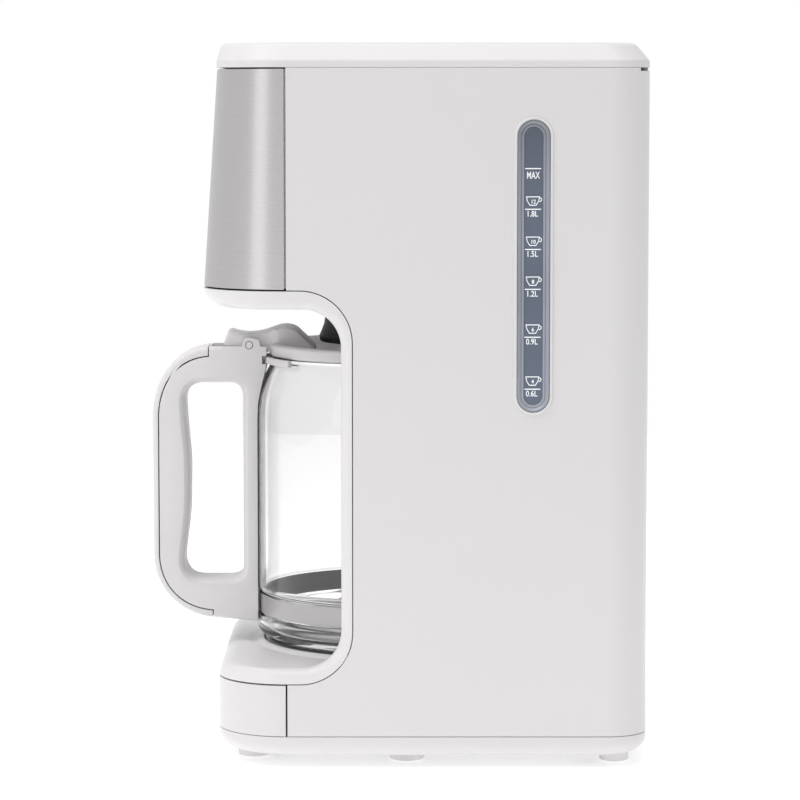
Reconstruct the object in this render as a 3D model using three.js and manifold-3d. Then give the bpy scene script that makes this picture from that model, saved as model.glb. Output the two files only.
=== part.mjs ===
// Drip coffee maker: housing with a bay for a glass carafe, water tank, brew basket and heater.
// Units are millimetres. +Z is up, the front of the machine faces -Y, and +X is the side with
// the water level window. The origin lies on the table, midway across the width and the depth.

import * as THREE from 'three';
import { mergeVertices } from 'three/addons/utils/BufferGeometryUtils.js';
import Module from 'manifold-3d';

const wasm = await Module();
wasm.setup();

// ---------------------------------------------------------------- driving dimensions

const GAP = 0.3;                    // clearance kept between neighbouring pieces
const WALL = 2.4;                   // moulded plastic wall

const HALF_WIDTH = 98;
const REAR_Y = 126.5;
const REAR_RADIUS = 20;
const BASE_FRONT_Y = -89.6;
const SEAM_Y = -54.3;               // where the front covers meet the side walls
const FOOT_HEIGHT = 5.5;
const TRAY_TOP_Z = 16.2;
const BASE_COVER_TOP_Z = 42.4;
const BASE_TOP_Z = 50.4;

const HEAD_BOTTOM_Z = 230;
const HEAD_PANEL_Z = 239.7;         // lower edge of the metal front panel
const HEAD_TOP_Z = 348.6;
const HEAD_FRONT_TOP_Y = -89.4;
const HEAD_FRONT_BOTTOM_Y = -96.5;
const HEAD_PANEL_THICKNESS = 1.5;

const TRIM_OUTER = { depthY: -20.8, lowZ: BASE_COVER_TOP_Z, highZ: HEAD_PANEL_Z, radius: 26.5 };
const TRIM_INNER = { depthY: -26.8, lowZ: BASE_TOP_Z, highZ: HEAD_BOTTOM_Z, radius: 19 };
const BAY_RADIUS = 79;
const BAY_MOUTH_HALF = 91;          // half width of the bay at its front edge
const BAY_WALL = 2.5;

const LID_BOTTOM_Z = 349.3;
const LID_TOP_Z = 361.5;
const LID_HINGE = { y: 124, z: 350.5, barrel: 2.2, pin: 0.9, bore: 1 };
const KNUCKLE = { from: 60, to: 72 };       // the housing's knuckles, along X on each side
const LID_KNUCKLE = { from: 53, to: 78 };   // the lid's barrels, one each side of a knuckle
const LID_NOTCH_Z = 347.6;          // the rear wall is lower here, to let the lid turn

const DECK_Z = 338;
const DECK_THICKNESS = 3;
const DECK_BASKET_HOLE = 61.5;

const TANK_FLOOR_Z = 139;
const TANK_STEP_Z = 234;
const TANK_TOP_Z = 337.5;
const TANK_WALL = 2.2;

const WINDOW = { y: 68.35, width: 15.8, lowZ: 179.5, highZ: 323.5, rim: 2.1 };

const PLATE_RADIUS = 68.5;
const PLATE_TOP_Z = 52.6;

const GLASS_RADIUS = 72.8;
const GLASS_WALL = 2.2;
const GLASS_BOTTOM_Z = 53;
const GLASS_TOP_Z = 200;
const NECK_RADIUS = 63.8;
const BAND = { lowZ: 66.2, highZ: 76.2, inner: 71, outer: 71.7 };

const HANDLE_HALF_WIDTH = 14;
const HANDLE_BACK_Y = -126.5;
const PIVOT = { y: -76, z: 206.1, pin: 1.8 };
const LEVER_HALF_WIDTH = 10.4;
const EAR_THICKNESS = 3.1;

const LID_RIM = { radius: 65.7, lowZ: 200.3, highZ: 206.8 };
const SKIRT_BOTTOM_Z = 207.6;

const HOSE_RADIUS = 5;
const TANK_OUTLET = { x: 30, y: 104, radius: 4 };
const VALVE = { lowZ: 92, highZ: 112, radius: 7.5 };
const SPOUT = { x: -78, y: 8 };
const RISER = { x: -88.5, y: 6 };
const ELEMENT = { z: 36.5, ringRadius: 44, barRadius: 6, endX: 33, endY: 66 };
const GLAND = { x: -55, z: 30, hole: 7.4 };

const DISPLAY = { z: 29.3, width: 44, height: 15 };
const BUTTON = { radius: 4.3, z: 29.3, proud: 1, places: [-44, -31, 31, 44] };
const BUTTON_NAMES = ['brew_button', 'program_button', 'hour_button', 'minute_button'];

// ---------------------------------------------------------------- materials

const FINISH = {
  white: { color: 0xe9e7e8, roughness: 0.25, metalness: 0 },
  handleWhite: { color: 0xdcdada, roughness: 0.4, metalness: 0 },
  steel: { color: 0xbfbcbd, roughness: 0.35, metalness: 1 },
  black: { color: 0x1c1a1b, roughness: 0.45, metalness: 0 },
  glass: { color: 0xeef2f2, roughness: 0.05, metalness: 0, transparent: true, opacity: 0.3 },
  smoke: { color: 0x6f7888, roughness: 0.15, metalness: 0, transparent: true, opacity: 0.7 },
  coating: { color: 0x222122, roughness: 0.5, metalness: 0.3 },
  aluminium: { color: 0xb8babb, roughness: 0.4, metalness: 1 },
  rubber: { color: 0xc9c7c7, roughness: 0.8, metalness: 0 },
  silicone: { color: 0xe6e3dc, roughness: 0.6, metalness: 0 },
  tankPlastic: { color: 0xd8dcdf, roughness: 0.3, metalness: 0, transparent: true, opacity: 0.6 },
  board: { color: 0x2f6b43, roughness: 0.6, metalness: 0 },
  mesh: { color: 0xa88f4c, roughness: 0.4, metalness: 0.8 },
};

function finish(name) {
  return new THREE.MeshStandardMaterial({ name, ...FINISH[name] });
}

// ---------------------------------------------------------------- geometry helpers

function solid(geometry) {
  const bare = geometry.clone();
  bare.deleteAttribute('normal');
  bare.deleteAttribute('uv');
  const merged = mergeVertices(bare, 1e-4);
  const mesh = new wasm.Mesh({
    numProp: 3,
    vertProperties: new Float32Array(merged.attributes.position.array),
    triVerts: new Uint32Array(merged.index.array),
  });
  return new wasm.Manifold(mesh);
}

function geometryOf(manifold) {
  const mesh = manifold.getMesh();
  const geometry = new THREE.BufferGeometry();
  geometry.setAttribute('position', new THREE.BufferAttribute(new Float32Array(mesh.vertProperties), 3));
  geometry.setIndex(new THREE.BufferAttribute(new Uint32Array(mesh.triVerts), 1));
  geometry.computeVertexNormals();
  return geometry;
}

function join(first, ...others) {
  return others.reduce((sum, other) => sum.add(other), first);
}

function cut(body, ...tools) {
  return tools.reduce((rest, tool) => rest.subtract(tool), body);
}

function box([x0, x1], [y0, y1], [z0, z1]) {
  const geometry = new THREE.BoxGeometry(x1 - x0, y1 - y0, z1 - z0);
  geometry.translate((x0 + x1) / 2, (y0 + y1) / 2, (z0 + z1) / 2);
  return solid(geometry);
}

function prism(shape, z0, z1, curveSegments = 8) {
  const geometry = new THREE.ExtrudeGeometry(shape, { depth: z1 - z0, bevelEnabled: false, curveSegments });
  geometry.translate(0, 0, z0);
  return solid(geometry);
}

// a shape drawn in (Y, Z), swept across the machine from x0 to x1
function prismAcross(shape, x0, x1, curveSegments = 8) {
  const geometry = new THREE.ExtrudeGeometry(shape, { depth: x1 - x0, bevelEnabled: false, curveSegments });
  geometry.translate(0, 0, x0);
  const turn = new THREE.Matrix4().makeBasis(
    new THREE.Vector3(0, 1, 0), new THREE.Vector3(0, 0, 1), new THREE.Vector3(1, 0, 0));
  geometry.applyMatrix4(turn);
  return solid(geometry);
}

function disc(radius, z0, z1, { x = 0, y = 0, segments = 24 } = {}) {
  const geometry = new THREE.CylinderGeometry(radius, radius, z1 - z0, segments);
  geometry.rotateX(Math.PI / 2);
  geometry.translate(x, y, (z0 + z1) / 2);
  return solid(geometry);
}

function rodAlongX(radius, x0, x1, y, z, segments = 16) {
  const geometry = new THREE.CylinderGeometry(radius, radius, x1 - x0, segments);
  geometry.rotateZ(Math.PI / 2);
  geometry.translate((x0 + x1) / 2, y, z);
  return solid(geometry);
}

function rodAlongY(radius, y0, y1, x, z, segments = 16) {
  const geometry = new THREE.CylinderGeometry(radius, radius, y1 - y0, segments);
  geometry.translate(x, (y0 + y1) / 2, z);
  return solid(geometry);
}

// a profile of [radius, z] pairs turned about the Z axis
function turned(profile, segments = 36) {
  const points = profile.map(([radius, z]) => new THREE.Vector2(radius, z));
  const onAxis = profile[0][0] === 0 && profile[profile.length - 1][0] === 0;
  if (!onAxis) {
    points.push(points[0].clone());
  }
  const geometry = new THREE.LatheGeometry(points, segments);
  geometry.rotateX(Math.PI / 2);
  return solid(geometry);
}

function tube(points, radius, { sides = 8, steps = 24 } = {}) {
  const section = new THREE.Shape();
  section.absarc(0, 0, radius, 0, Math.PI * 2);
  const path = new THREE.CatmullRomCurve3(points.map(p => new THREE.Vector3(...p)));
  const geometry = new THREE.ExtrudeGeometry(section, { steps, extrudePath: path, curveSegments: sides / 2 });
  return solid(geometry);
}

// rounded outline of the machine seen from above, counter-clockwise, always with the same
// number of points, so that outlines at different heights can be joined
function plan({ front = BASE_FRONT_Y, rear = REAR_Y, half = HALF_WIDTH, frontRadius = null,
  rearRadius = REAR_RADIUS, inset = 0, segments = 6 } = {}) {
  const cornerFront = (frontRadius ?? SEAM_Y - front) - inset;
  const cornerRear = rearRadius - inset;
  const f = front + inset;
  const r = rear - inset;
  const h = half - inset;
  const corners = [
    [-h + cornerFront, f + cornerFront, cornerFront, Math.PI],
    [h - cornerFront, f + cornerFront, cornerFront, 1.5 * Math.PI],
    [h - cornerRear, r - cornerRear, cornerRear, 0],
    [-h + cornerRear, r - cornerRear, cornerRear, 0.5 * Math.PI],
  ];
  const points = [];
  for (const [cx, cy, radius, start] of corners) {
    for (let i = 0; i <= segments; i += 1) {
      const angle = start + (i / segments) * (Math.PI / 2);
      points.push(new THREE.Vector2(cx + radius * Math.cos(angle), cy + radius * Math.sin(angle)));
    }
  }
  return points;
}

// closed solid through outlines stacked from the lowest to the highest
function loft(sections) {
  const count = sections[0].outline.length;
  const positions = [];
  for (const { outline, z } of sections) {
    outline.forEach(point => positions.push(point.x, point.y, z));
  }
  const index = [];
  for (let level = 0; level < sections.length - 1; level += 1) {
    for (let i = 0; i < count; i += 1) {
      const next = (i + 1) % count;
      const low = level * count;
      const high = low + count;
      index.push(low + i, low + next, high + next, low + i, high + next, high + i);
    }
  }
  const top = (sections.length - 1) * count;
  THREE.ShapeUtils.triangulateShape(sections[0].outline, []).forEach(([a, b, c]) => index.push(c, b, a));
  THREE.ShapeUtils.triangulateShape(sections[sections.length - 1].outline, [])
    .forEach(([a, b, c]) => index.push(top + a, top + b, top + c));
  const geometry = new THREE.BufferGeometry();
  geometry.setAttribute('position', new THREE.Float32BufferAttribute(positions, 3));
  geometry.setIndex(index);
  return solid(geometry);
}

function shapeOf(points) {
  return new THREE.Shape(points.map(([x, y]) => new THREE.Vector2(x, y)));
}

// side view of the carafe bay: open to the front, rounded where it turns up and down
function bayProfile({ depthY, lowZ, highZ, radius }, grow = 0) {
  const beyondFront = -140;
  const y = depthY + grow;
  const low = lowZ - grow;
  const high = highZ + grow;
  const r = radius + grow;
  const shape = new THREE.Shape();
  shape.moveTo(beyondFront, low);
  shape.lineTo(y - r, low);
  shape.absarc(y - r, low + r, r, -Math.PI / 2, 0);
  shape.lineTo(y, high - r);
  shape.absarc(y - r, high - r, r, 0, Math.PI / 2);
  shape.lineTo(beyondFront, high);
  return shape;
}

function stadium(centreY, lowZ, highZ, width) {
  const r = width / 2;
  const shape = new THREE.Shape();
  shape.moveTo(centreY - r, lowZ + r);
  shape.absarc(centreY, lowZ + r, r, Math.PI, 2 * Math.PI);
  shape.absarc(centreY, highZ - r, r, 0, Math.PI);
  return shape;
}

// outline of the head at a height between its metal panel's lower and upper edge
function headPlan(z, inset = 0) {
  const t = (z - HEAD_PANEL_Z) / (HEAD_TOP_Z - HEAD_PANEL_Z);
  const front = THREE.MathUtils.lerp(HEAD_FRONT_BOTTOM_Y, HEAD_FRONT_TOP_Y, t);
  return plan({ front, inset });
}

const root = new THREE.Group();

function place(name, body, finishName, parent = root) {
  const geometry = body.isBufferGeometry ? body : geometryOf(body);
  const mesh = new THREE.Mesh(geometry, finish(finishName));
  mesh.name = name;
  parent.add(mesh);
  return mesh;
}

// ---------------------------------------------------------------- housing shells

function mainHousing() {
  const outline = plan({ front: SEAM_Y + GAP, frontRadius: 1 });
  const outer = loft([{ outline, z: TRAY_TOP_Z + GAP }, { outline, z: HEAD_TOP_Z }]);
  const hollow = plan({
    front: SEAM_Y - 20,
    half: HALF_WIDTH - WALL,
    rear: REAR_Y - WALL,
    frontRadius: 1,
    rearRadius: REAR_RADIUS - WALL,
  });
  const inner = loft([{ outline: hollow, z: 0 }, { outline: hollow, z: HEAD_TOP_Z + 10 }]);
  const bay = prismAcross(bayProfile(TRIM_OUTER), -HALF_WIDTH - 5, HALF_WIDTH + 5, 10);
  const windowSlot = prismAcross(
    stadium(WINDOW.y, WINDOW.lowZ - GAP, WINDOW.highZ + GAP, WINDOW.width + 2 * GAP),
    HALF_WIDTH - 10, HALF_WIDTH + 5);
  const rearNotch = box([-120, 120], [REAR_Y - 14, REAR_Y + 5], [LID_NOTCH_Z, HEAD_TOP_Z + 5]);
  const glandHole = rodAlongY(GLAND.hole, REAR_Y - 10, REAR_Y + 5, GLAND.x, GLAND.z);
  let body = cut(outer, inner, bay, windowSlot, rearNotch, glandHole);
  for (const side of [-1, 1]) {
    const { from, to } = KNUCKLE;
    const [x0, x1] = side > 0 ? [from, to] : [-to, -from];
    const { y, z, barrel, bore } = LID_HINGE;
    body = join(body,
      rodAlongX(barrel, x0, x1, y, z),
      box([x0, x1], [y - barrel, y + barrel], [z - 8, z]));
    body = cut(body, rodAlongX(bore, x0 - 1, x1 + 1, y, z, 12));
  }
  return body;
}

function headFrontPanel() {
  const [z0, z1] = [HEAD_PANEL_Z + GAP, HEAD_TOP_Z];
  const outer = loft([{ outline: headPlan(z0), z: z0 }, { outline: headPlan(z1), z: z1 }]);
  const inner = loft([
    { outline: headPlan(z0 - 1, HEAD_PANEL_THICKNESS), z: z0 - 1 },
    { outline: headPlan(z1 + 1, HEAD_PANEL_THICKNESS), z: z1 + 1 },
  ]);
  return cut(outer, inner, box([-120, 120], [SEAM_Y - GAP, 140], [0, 400]));
}

function baseFrontCover() {
  const [z0, z1] = [TRAY_TOP_Z + GAP, BASE_COVER_TOP_Z - GAP];
  const outer = loft([{ outline: plan(), z: z0 }, { outline: plan(), z: z1 }]);
  const hollow = plan({ inset: WALL });
  const inner = loft([{ outline: hollow, z: z0 - 1 }, { outline: hollow, z: z1 + 1 }]);
  const { z, width, height } = DISPLAY;
  const displayHole = box([-width / 2, width / 2], [BASE_FRONT_Y - 5, BASE_FRONT_Y + 10],
    [z - height / 2, z + height / 2]);
  const buttonHoles = BUTTON.places.map(x =>
    rodAlongY(BUTTON.radius + 0.4, BASE_FRONT_Y - 5, BASE_FRONT_Y + 10, x, BUTTON.z));
  return cut(outer, inner, box([-120, 120], [SEAM_Y - GAP, 140], [0, 400]), displayHole, ...buttonHoles);
}

function bayLiner() {
  const chin = loft([
    { outline: plan({ front: HEAD_FRONT_BOTTOM_Y + 12, frontRadius: 30 }), z: HEAD_BOTTOM_Z },
    { outline: plan({ front: HEAD_FRONT_BOTTOM_Y + 5.5, frontRadius: 36.5 }), z: HEAD_BOTTOM_Z + 2 },
    { outline: plan({ front: HEAD_FRONT_BOTTOM_Y + 2, frontRadius: 40 }), z: HEAD_BOTTOM_Z + 5 },
    { outline: plan({ front: HEAD_FRONT_BOTTOM_Y + 0.3, frontRadius: 42 }), z: HEAD_BOTTOM_Z + 8 },
    { outline: plan({ front: HEAD_FRONT_BOTTOM_Y, frontRadius: 42.2 }), z: HEAD_PANEL_Z - GAP },
  ]);
  const baseTop = loft([
    { outline: plan(), z: BASE_COVER_TOP_Z },
    { outline: plan({ inset: 0.2 }), z: BASE_COVER_TOP_Z + 2.2 },
    { outline: plan({ inset: 1.6 }), z: BASE_COVER_TOP_Z + 4.8 },
    { outline: plan({ inset: 4 }), z: BASE_COVER_TOP_Z + 7 },
    { outline: plan({ inset: 7.5 }), z: BASE_TOP_Z },
  ]);
  const frontOfWall = box([-120, 120], [-54, TRIM_OUTER.depthY + 5], [45, 235]);
  const sides = box([-HALF_WIDTH, HALF_WIDTH], [-140, 40], [0, 300]);
  const frame = join(chin, baseTop, frontOfWall)
    .intersect(sides)
    .intersect(prismAcross(bayProfile(TRIM_OUTER, -GAP), -120, 120, 10));

  const mouth = grow => shapeOf([
    [BAY_RADIUS + grow, 0], [-BAY_RADIUS - grow, 0],
    [-BAY_MOUTH_HALF - grow, TRIM_INNER.depthY - 0.7], [-BAY_MOUTH_HALF - grow, -60],
    [BAY_MOUTH_HALF + grow, -60], [BAY_MOUTH_HALF + grow, TRIM_INNER.depthY - 0.7],
  ]);
  const behindFrame = box([-95, 95], [TRIM_OUTER.depthY - 2, 120], [0, 300]);
  const wall = join(
    disc(BAY_RADIUS + BAY_WALL, BASE_TOP_Z - WALL, HEAD_BOTTOM_Z + WALL, { segments: 40 }),
    prism(mouth(BAY_WALL), BASE_TOP_Z - WALL, HEAD_BOTTOM_Z + WALL),
  ).intersect(behindFrame);
  const space = join(
    disc(BAY_RADIUS, BASE_TOP_Z, HEAD_BOTTOM_Z, { segments: 40 }),
    prism(mouth(0), BASE_TOP_Z, HEAD_BOTTOM_Z),
    prismAcross(bayProfile(TRIM_INNER), -120, 120, 10));

  const hollowFrontOfY = -44;
  const half = HALF_WIDTH - WALL;
  const chinHollow = loft([
    { outline: plan({ front: HEAD_FRONT_BOTTOM_Y + 9, frontRadius: 30, half }), z: HEAD_BOTTOM_Z + WALL },
    { outline: plan({ front: HEAD_FRONT_BOTTOM_Y + 3, frontRadius: 38, half }), z: HEAD_PANEL_Z + 1 },
  ]).subtract(box([-120, 120], [hollowFrontOfY, 140], [0, 400]));
  const baseHollow = loft([
    { outline: plan({ inset: WALL }), z: BASE_COVER_TOP_Z - 1 },
    { outline: plan({ inset: WALL + 3 }), z: BASE_TOP_Z - WALL },
  ]).subtract(box([-120, 120], [hollowFrontOfY, 140], [0, 400]));
  const basketHole = disc(43, HEAD_BOTTOM_Z - 5, HEAD_BOTTOM_Z + 15, { segments: 40 });
  const basketWell = disc(61.2, HEAD_BOTTOM_Z + WALL + 1, HEAD_BOTTOM_Z + 20, { segments: 40 });
  const plateHole = disc(PLATE_RADIUS + 0.8, BASE_COVER_TOP_Z - 5, BASE_TOP_Z + 5, { segments: 40 });
  return cut(join(frame, wall), space, chinHollow, baseHollow, basketHole, basketWell, plateHole);
}

const SCREW_PLACES = [[-60, -58], [60, -58], [-78, 96], [78, 96]];

function baseTray() {
  const outer = loft([
    { outline: plan({ inset: 9 }), z: FOOT_HEIGHT },
    { outline: plan({ inset: 5 }), z: FOOT_HEIGHT + 1.3 },
    { outline: plan({ inset: 2 }), z: FOOT_HEIGHT + 3.8 },
    { outline: plan({ inset: 0.3 }), z: FOOT_HEIGHT + 7.5 },
    { outline: plan(), z: TRAY_TOP_Z },
  ]);
  const floorZ = FOOT_HEIGHT + WALL;
  const inner = loft([
    { outline: plan({ inset: 7.5 }), z: floorZ },
    { outline: plan({ inset: 4 }), z: floorZ + 3 },
    { outline: plan({ inset: WALL }), z: TRAY_TOP_Z + 1 },
  ]);
  const screwHoles = SCREW_PLACES.map(([x, y]) => disc(3.7, 0, 12, { x, y, segments: 16 }));
  const ventSlots = [-2, -1, 0, 1, 2].map(i =>
    box([i * 12 - 1.5, i * 12 + 1.5], [-20, 20], [0, floorZ + 1]));
  return cut(outer, inner, ...screwHoles, ...ventSlots);
}

function topDeck() {
  const outline = inset => plan({ front: HEAD_FRONT_TOP_Y, inset });
  const plate = loft([
    { outline: outline(3), z: DECK_Z },
    { outline: outline(3), z: DECK_Z + DECK_THICKNESS },
  ]);
  const tankMouth = box([-84, 84], [72, 116], [DECK_Z - 5, DECK_Z + 10]);
  const spoutHole = disc(5.4, DECK_Z - 5, DECK_Z + 10, { ...SPOUT, segments: 16 });
  const basketHole = disc(DECK_BASKET_HOLE, DECK_Z - 5, DECK_Z + 10, { segments: 40 });
  return cut(plate, basketHole, tankMouth, spoutHole);
}

// ---------------------------------------------------------------- top lid

const LID_SIDE = [
  { z: LID_BOTTOM_Z, side: 0, front: 0 },
  { z: 352, side: 0.3, front: 0.6 },
  { z: 356, side: 2.3, front: 1.5 },
  { z: 359.2, side: 5.2, front: 3 },
  { z: 361, side: 7.6, front: 5.2 },
  { z: LID_TOP_Z, side: 10, front: 7.8 },
];

function lidPlan(side, front) {
  return plan({
    front: HEAD_FRONT_TOP_Y + front,
    rear: REAR_Y - side,
    half: HALF_WIDTH - side,
    frontRadius: 35.1 - front,
    rearRadius: REAR_RADIUS - side,
  });
}

function topLid() {
  const outer = loft(LID_SIDE.map(({ z, side, front }) => ({ outline: lidPlan(side, front), z })));
  const inner = loft([
    { outline: lidPlan(WALL, WALL), z: LID_BOTTOM_Z - 1 },
    { outline: lidPlan(WALL + 0.4, WALL + 0.6), z: 352 },
    { outline: lidPlan(WALL + 6, WALL + 4), z: LID_TOP_Z - WALL },
  ]);
  const { y, z, barrel, bore } = LID_HINGE;
  const cornerBlock = box([-120, 120], [y, REAR_Y + 5], [LID_BOTTOM_Z - 5, z]);
  const cornerKept = rodAlongX(REAR_Y - y, -121, 121, y, z, 32);
  const corner = cut(cornerBlock, cornerKept);
  let body = cut(outer, inner, corner);
  for (const side of [-1, 1]) {
    const span = (a, b) => (side > 0 ? [a, b] : [-b, -a]);
    const [knuckleStart, knuckleEnd] = [KNUCKLE.from - 0.6, KNUCKLE.to + 0.6];
    body = join(body,
      rodAlongX(barrel, ...span(LID_KNUCKLE.from, knuckleStart), y, z),
      rodAlongX(barrel, ...span(knuckleEnd, LID_KNUCKLE.to), y, z));
    body = cut(body,
      box(span(knuckleStart, knuckleEnd), [y - 4, REAR_Y + 5], [LID_BOTTOM_Z - 5, z + barrel + 0.6]),
      rodAlongX(bore, ...span(LID_KNUCKLE.from - 3, LID_KNUCKLE.to + 1), y, z, 12));
  }
  return body;
}

function showerHead() {
  const top = LID_TOP_Z - WALL - GAP;
  const plateZ = [346.6, 351.5];
  const holes = [];
  const [holeCount, holeCircle] = [8, 18];
  for (let i = 0; i < holeCount; i += 1) {
    const angle = (i / holeCount) * Math.PI * 2;
    const [x, y] = [holeCircle * Math.cos(angle), holeCircle * Math.sin(angle)];
    holes.push(disc(1.6, 340, plateZ[0] + 2, { x, y, segments: 6 }));
  }
  const body = join(
    disc(30, ...plateZ, { segments: 24 }),
    box([-86, -20], [1, 15], plateZ),
    disc(5, plateZ[1] - 1, top, { y: 15, segments: 12 }),
    disc(5, plateZ[1] - 1, top, { y: -15, segments: 12 }));
  return cut(body, disc(4, 340, plateZ[0] + 2.5, { ...SPOUT, segments: 16 }), ...holes);
}

// ---------------------------------------------------------------- water side

function waterTank() {
  const section = (front, inset) => plan({
    front: front + inset,
    rear: REAR_Y - WALL - 1.3 - inset,
    half: HALF_WIDTH - WALL - 1.2 - inset,
    frontRadius: 3,
    rearRadius: REAR_RADIUS - 4 - inset,
  });
  const [lowerFront, upperFront] = [40, 28];
  const [bayClear, basketClear] = [BAY_RADIUS + BAY_WALL + 1.5, 65.5];
  const block = (front, inset, clear, z0, z1) => cut(
    loft([{ outline: section(front, inset), z: z0 }, { outline: section(front, inset), z: z1 }]),
    disc(clear + inset, z0 - 1, z1 + 1, { segments: 40 }));
  const shell = join(
    block(lowerFront, 0, bayClear, TANK_FLOOR_Z, TANK_STEP_Z + 1),
    block(upperFront, 0, basketClear, TANK_STEP_Z, TANK_TOP_Z));
  const water = join(
    block(lowerFront, TANK_WALL, bayClear, TANK_FLOOR_Z + TANK_WALL, TANK_STEP_Z + 6),
    block(upperFront, TANK_WALL, basketClear, TANK_STEP_Z + TANK_WALL, TANK_TOP_Z + 1));
  const { x, y, radius } = TANK_OUTLET;
  const outlet = disc(radius, TANK_FLOOR_Z - 1, TANK_FLOOR_Z + 5, { x, y, segments: 16 });
  return cut(shell, water, outlet);
}

function windowBezel() {
  const { y, lowZ, highZ, width, rim } = WINDOW;
  const [x0, x1] = [HALF_WIDTH - 2.2, HALF_WIDTH];
  return cut(
    prismAcross(stadium(y, lowZ, highZ, width), x0, x1),
    prismAcross(stadium(y, lowZ + rim, highZ - rim, width - 2 * rim), x0 - 1, x1 + 1));
}

function levelWindow() {
  const { y, lowZ, highZ, width, rim } = WINDOW;
  const inset = rim + GAP;
  const outline = stadium(y, lowZ + inset, highZ - inset, width - 2 * inset);
  return prismAcross(outline, HALF_WIDTH - 2, HALF_WIDTH - 0.5);
}

function tankOutletHose() {
  const { x, y } = TANK_OUTLET;
  const [top, bottom] = [TANK_FLOOR_Z - GAP, VALVE.highZ + GAP];
  return tube([[x, y, top], [x, y, (top + bottom) / 2], [x, y, bottom]], HOSE_RADIUS, { steps: 4 });
}

function checkValve() {
  const { lowZ, highZ, radius } = VALVE;
  const end = HOSE_RADIUS;
  return turned([
    [0, lowZ], [end, lowZ], [end, lowZ + 4], [radius, lowZ + 6],
    [radius, highZ - 6], [end, highZ - 4], [end, highZ], [0, highZ],
  ], 12).translate([TANK_OUTLET.x, TANK_OUTLET.y, 0]);
}

// from under the valve, forward to one end of the heating element
function heaterInletHose() {
  const { x, y } = TANK_OUTLET;
  const { z, endX, endY } = ELEMENT;
  return tube([
    [x, y, VALVE.lowZ - GAP], [x, y, 76], [x + 0.5, y - 2, 56], [x + 2, y - 12, 42],
    [endX, 78, z], [endX, endY + 2 * GAP, z],
  ], HOSE_RADIUS, { steps: 12 });
}

// from the element's other end, back round the bay and straight up the side to the spout
function riserHose() {
  const { z, endX, endY } = ELEMENT;
  const { x, y } = RISER;
  return tube([
    [-endX, endY + 2 * GAP, z], [-endX, 77, z], [-46, 90, 40], [-66, 84, 52], [-82, 56, 66],
    [x, 26, 84], [x, y + 2, 112], [x, y, 160], [x, y, 220], [x, y, 280],
    [x + 0.5, y, 306], [-84, 7, 319], [SPOUT.x - 0.6, SPOUT.y, 327], [SPOUT.x, SPOUT.y, 334],
  ], HOSE_RADIUS, { steps: 36 });
}

function outletSpout() {
  return turned([
    [3, 335], [4.9, 335], [4.9, 341.3], [7.5, 341.3], [7.5, 342.8], [4.5, 342.8], [4.5, 346], [3, 346],
  ], 12).translate([SPOUT.x, SPOUT.y, 0]);
}

// ---------------------------------------------------------------- heater

function warmingPlate() {
  return turned([
    [0, PLATE_TOP_Z], [PLATE_RADIUS - 1.2, PLATE_TOP_Z], [PLATE_RADIUS, PLATE_TOP_Z - 0.8],
    [PLATE_RADIUS, 44.5], [PLATE_RADIUS - 1.4, 44.5], [PLATE_RADIUS - 1.4, PLATE_TOP_Z - 1.6],
    [0, PLATE_TOP_Z - 1.6],
  ].reverse(), 36);
}

// a bar bent into a horseshoe, open at the rear
function heatingElement() {
  const { z, ringRadius, barRadius, endX, endY } = ELEMENT;
  const straight = 14;
  const [firstAngle, turn, steps] = [38, 256, 10];
  const points = [[endX, endY, z], [endX, endY - straight, z]];
  for (let i = 0; i <= steps; i += 1) {
    const angle = THREE.MathUtils.degToRad(firstAngle - (i / steps) * turn);
    points.push([ringRadius * Math.cos(angle), ringRadius * Math.sin(angle), z]);
  }
  points.push([-endX, endY - straight, z], [-endX, endY, z]);
  return tube(points, barRadius, { steps: 32 });
}

function heaterBracket() {
  const [half, leg, lowZ, topZ] = [58, 4, 28, 44];
  const depth = [-9, 9];
  return join(
    box([-half, half], depth, [lowZ, ELEMENT.z - ELEMENT.barRadius - 0.4]),
    box([-8, 8], depth, [lowZ + 1, topZ]),
    box([-half, -half + leg], depth, [lowZ, topZ]),
    box([half - leg, half], depth, [lowZ, topZ]));
}

function thermostat() {
  return join(disc(9, 33, 39, { y: 22, segments: 20 }), box([-12, 12], [21, 23], [39, 43]));
}

function thermalFuse() {
  return join(
    rodAlongX(2.2, -9, 9, -22, 36, 12),
    rodAlongX(0.6, -18, 18, -22, 36, 8));
}

// ---------------------------------------------------------------- electrics

function controlBoard() {
  const y = BASE_FRONT_Y + WALL + 2.8;
  return join(
    box([-56, 56], [y, y + 1.6], [19, 40.5]),
    box([-40, -22], [y + 1, y + 6], [24, 34]),
    box([10, 18], [y + 1, y + 5], [26, 34]));
}

function lcdDisplay() {
  const y = BASE_FRONT_Y + WALL;
  const { z, width, height } = DISPLAY;
  return box([-width / 2 + 1, width / 2 - 1], [y + GAP, y + 2.4], [z - height / 2 + 1, z + height / 2 - 1]);
}

function displayLens() {
  const { z, width, height } = DISPLAY;
  return box([-width / 2 + GAP, width / 2 - GAP], [BASE_FRONT_Y, BASE_FRONT_Y + 1.8],
    [z - height / 2 + GAP, z + height / 2 - GAP]);
}

function powerBoard() {
  return join(
    box([-30, 70], [84, 118], [14, 15.6]),
    box([-24, 0], [88, 106], [15, 32]),
    box([8, 30], [88, 104], [15, 30]),
    disc(6, 15, 34, { x: 42, y: 98, segments: 16 }),
    box([52, 66], [90, 112], [15, 26]));
}

function cordGland() {
  const profile = [[3.4, 0], [7, 0], [7, 3], [5.6, 3], [5.6, 9], [7, 9], [7, 10], [3.4, 10]];
  const geometry = new THREE.LatheGeometry(
    [...profile, profile[0]].map(([r, z]) => new THREE.Vector2(r, z)), 14);
  geometry.rotateZ(Math.PI);
  geometry.translate(GLAND.x, REAR_Y, GLAND.z);
  return solid(geometry);
}

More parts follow.
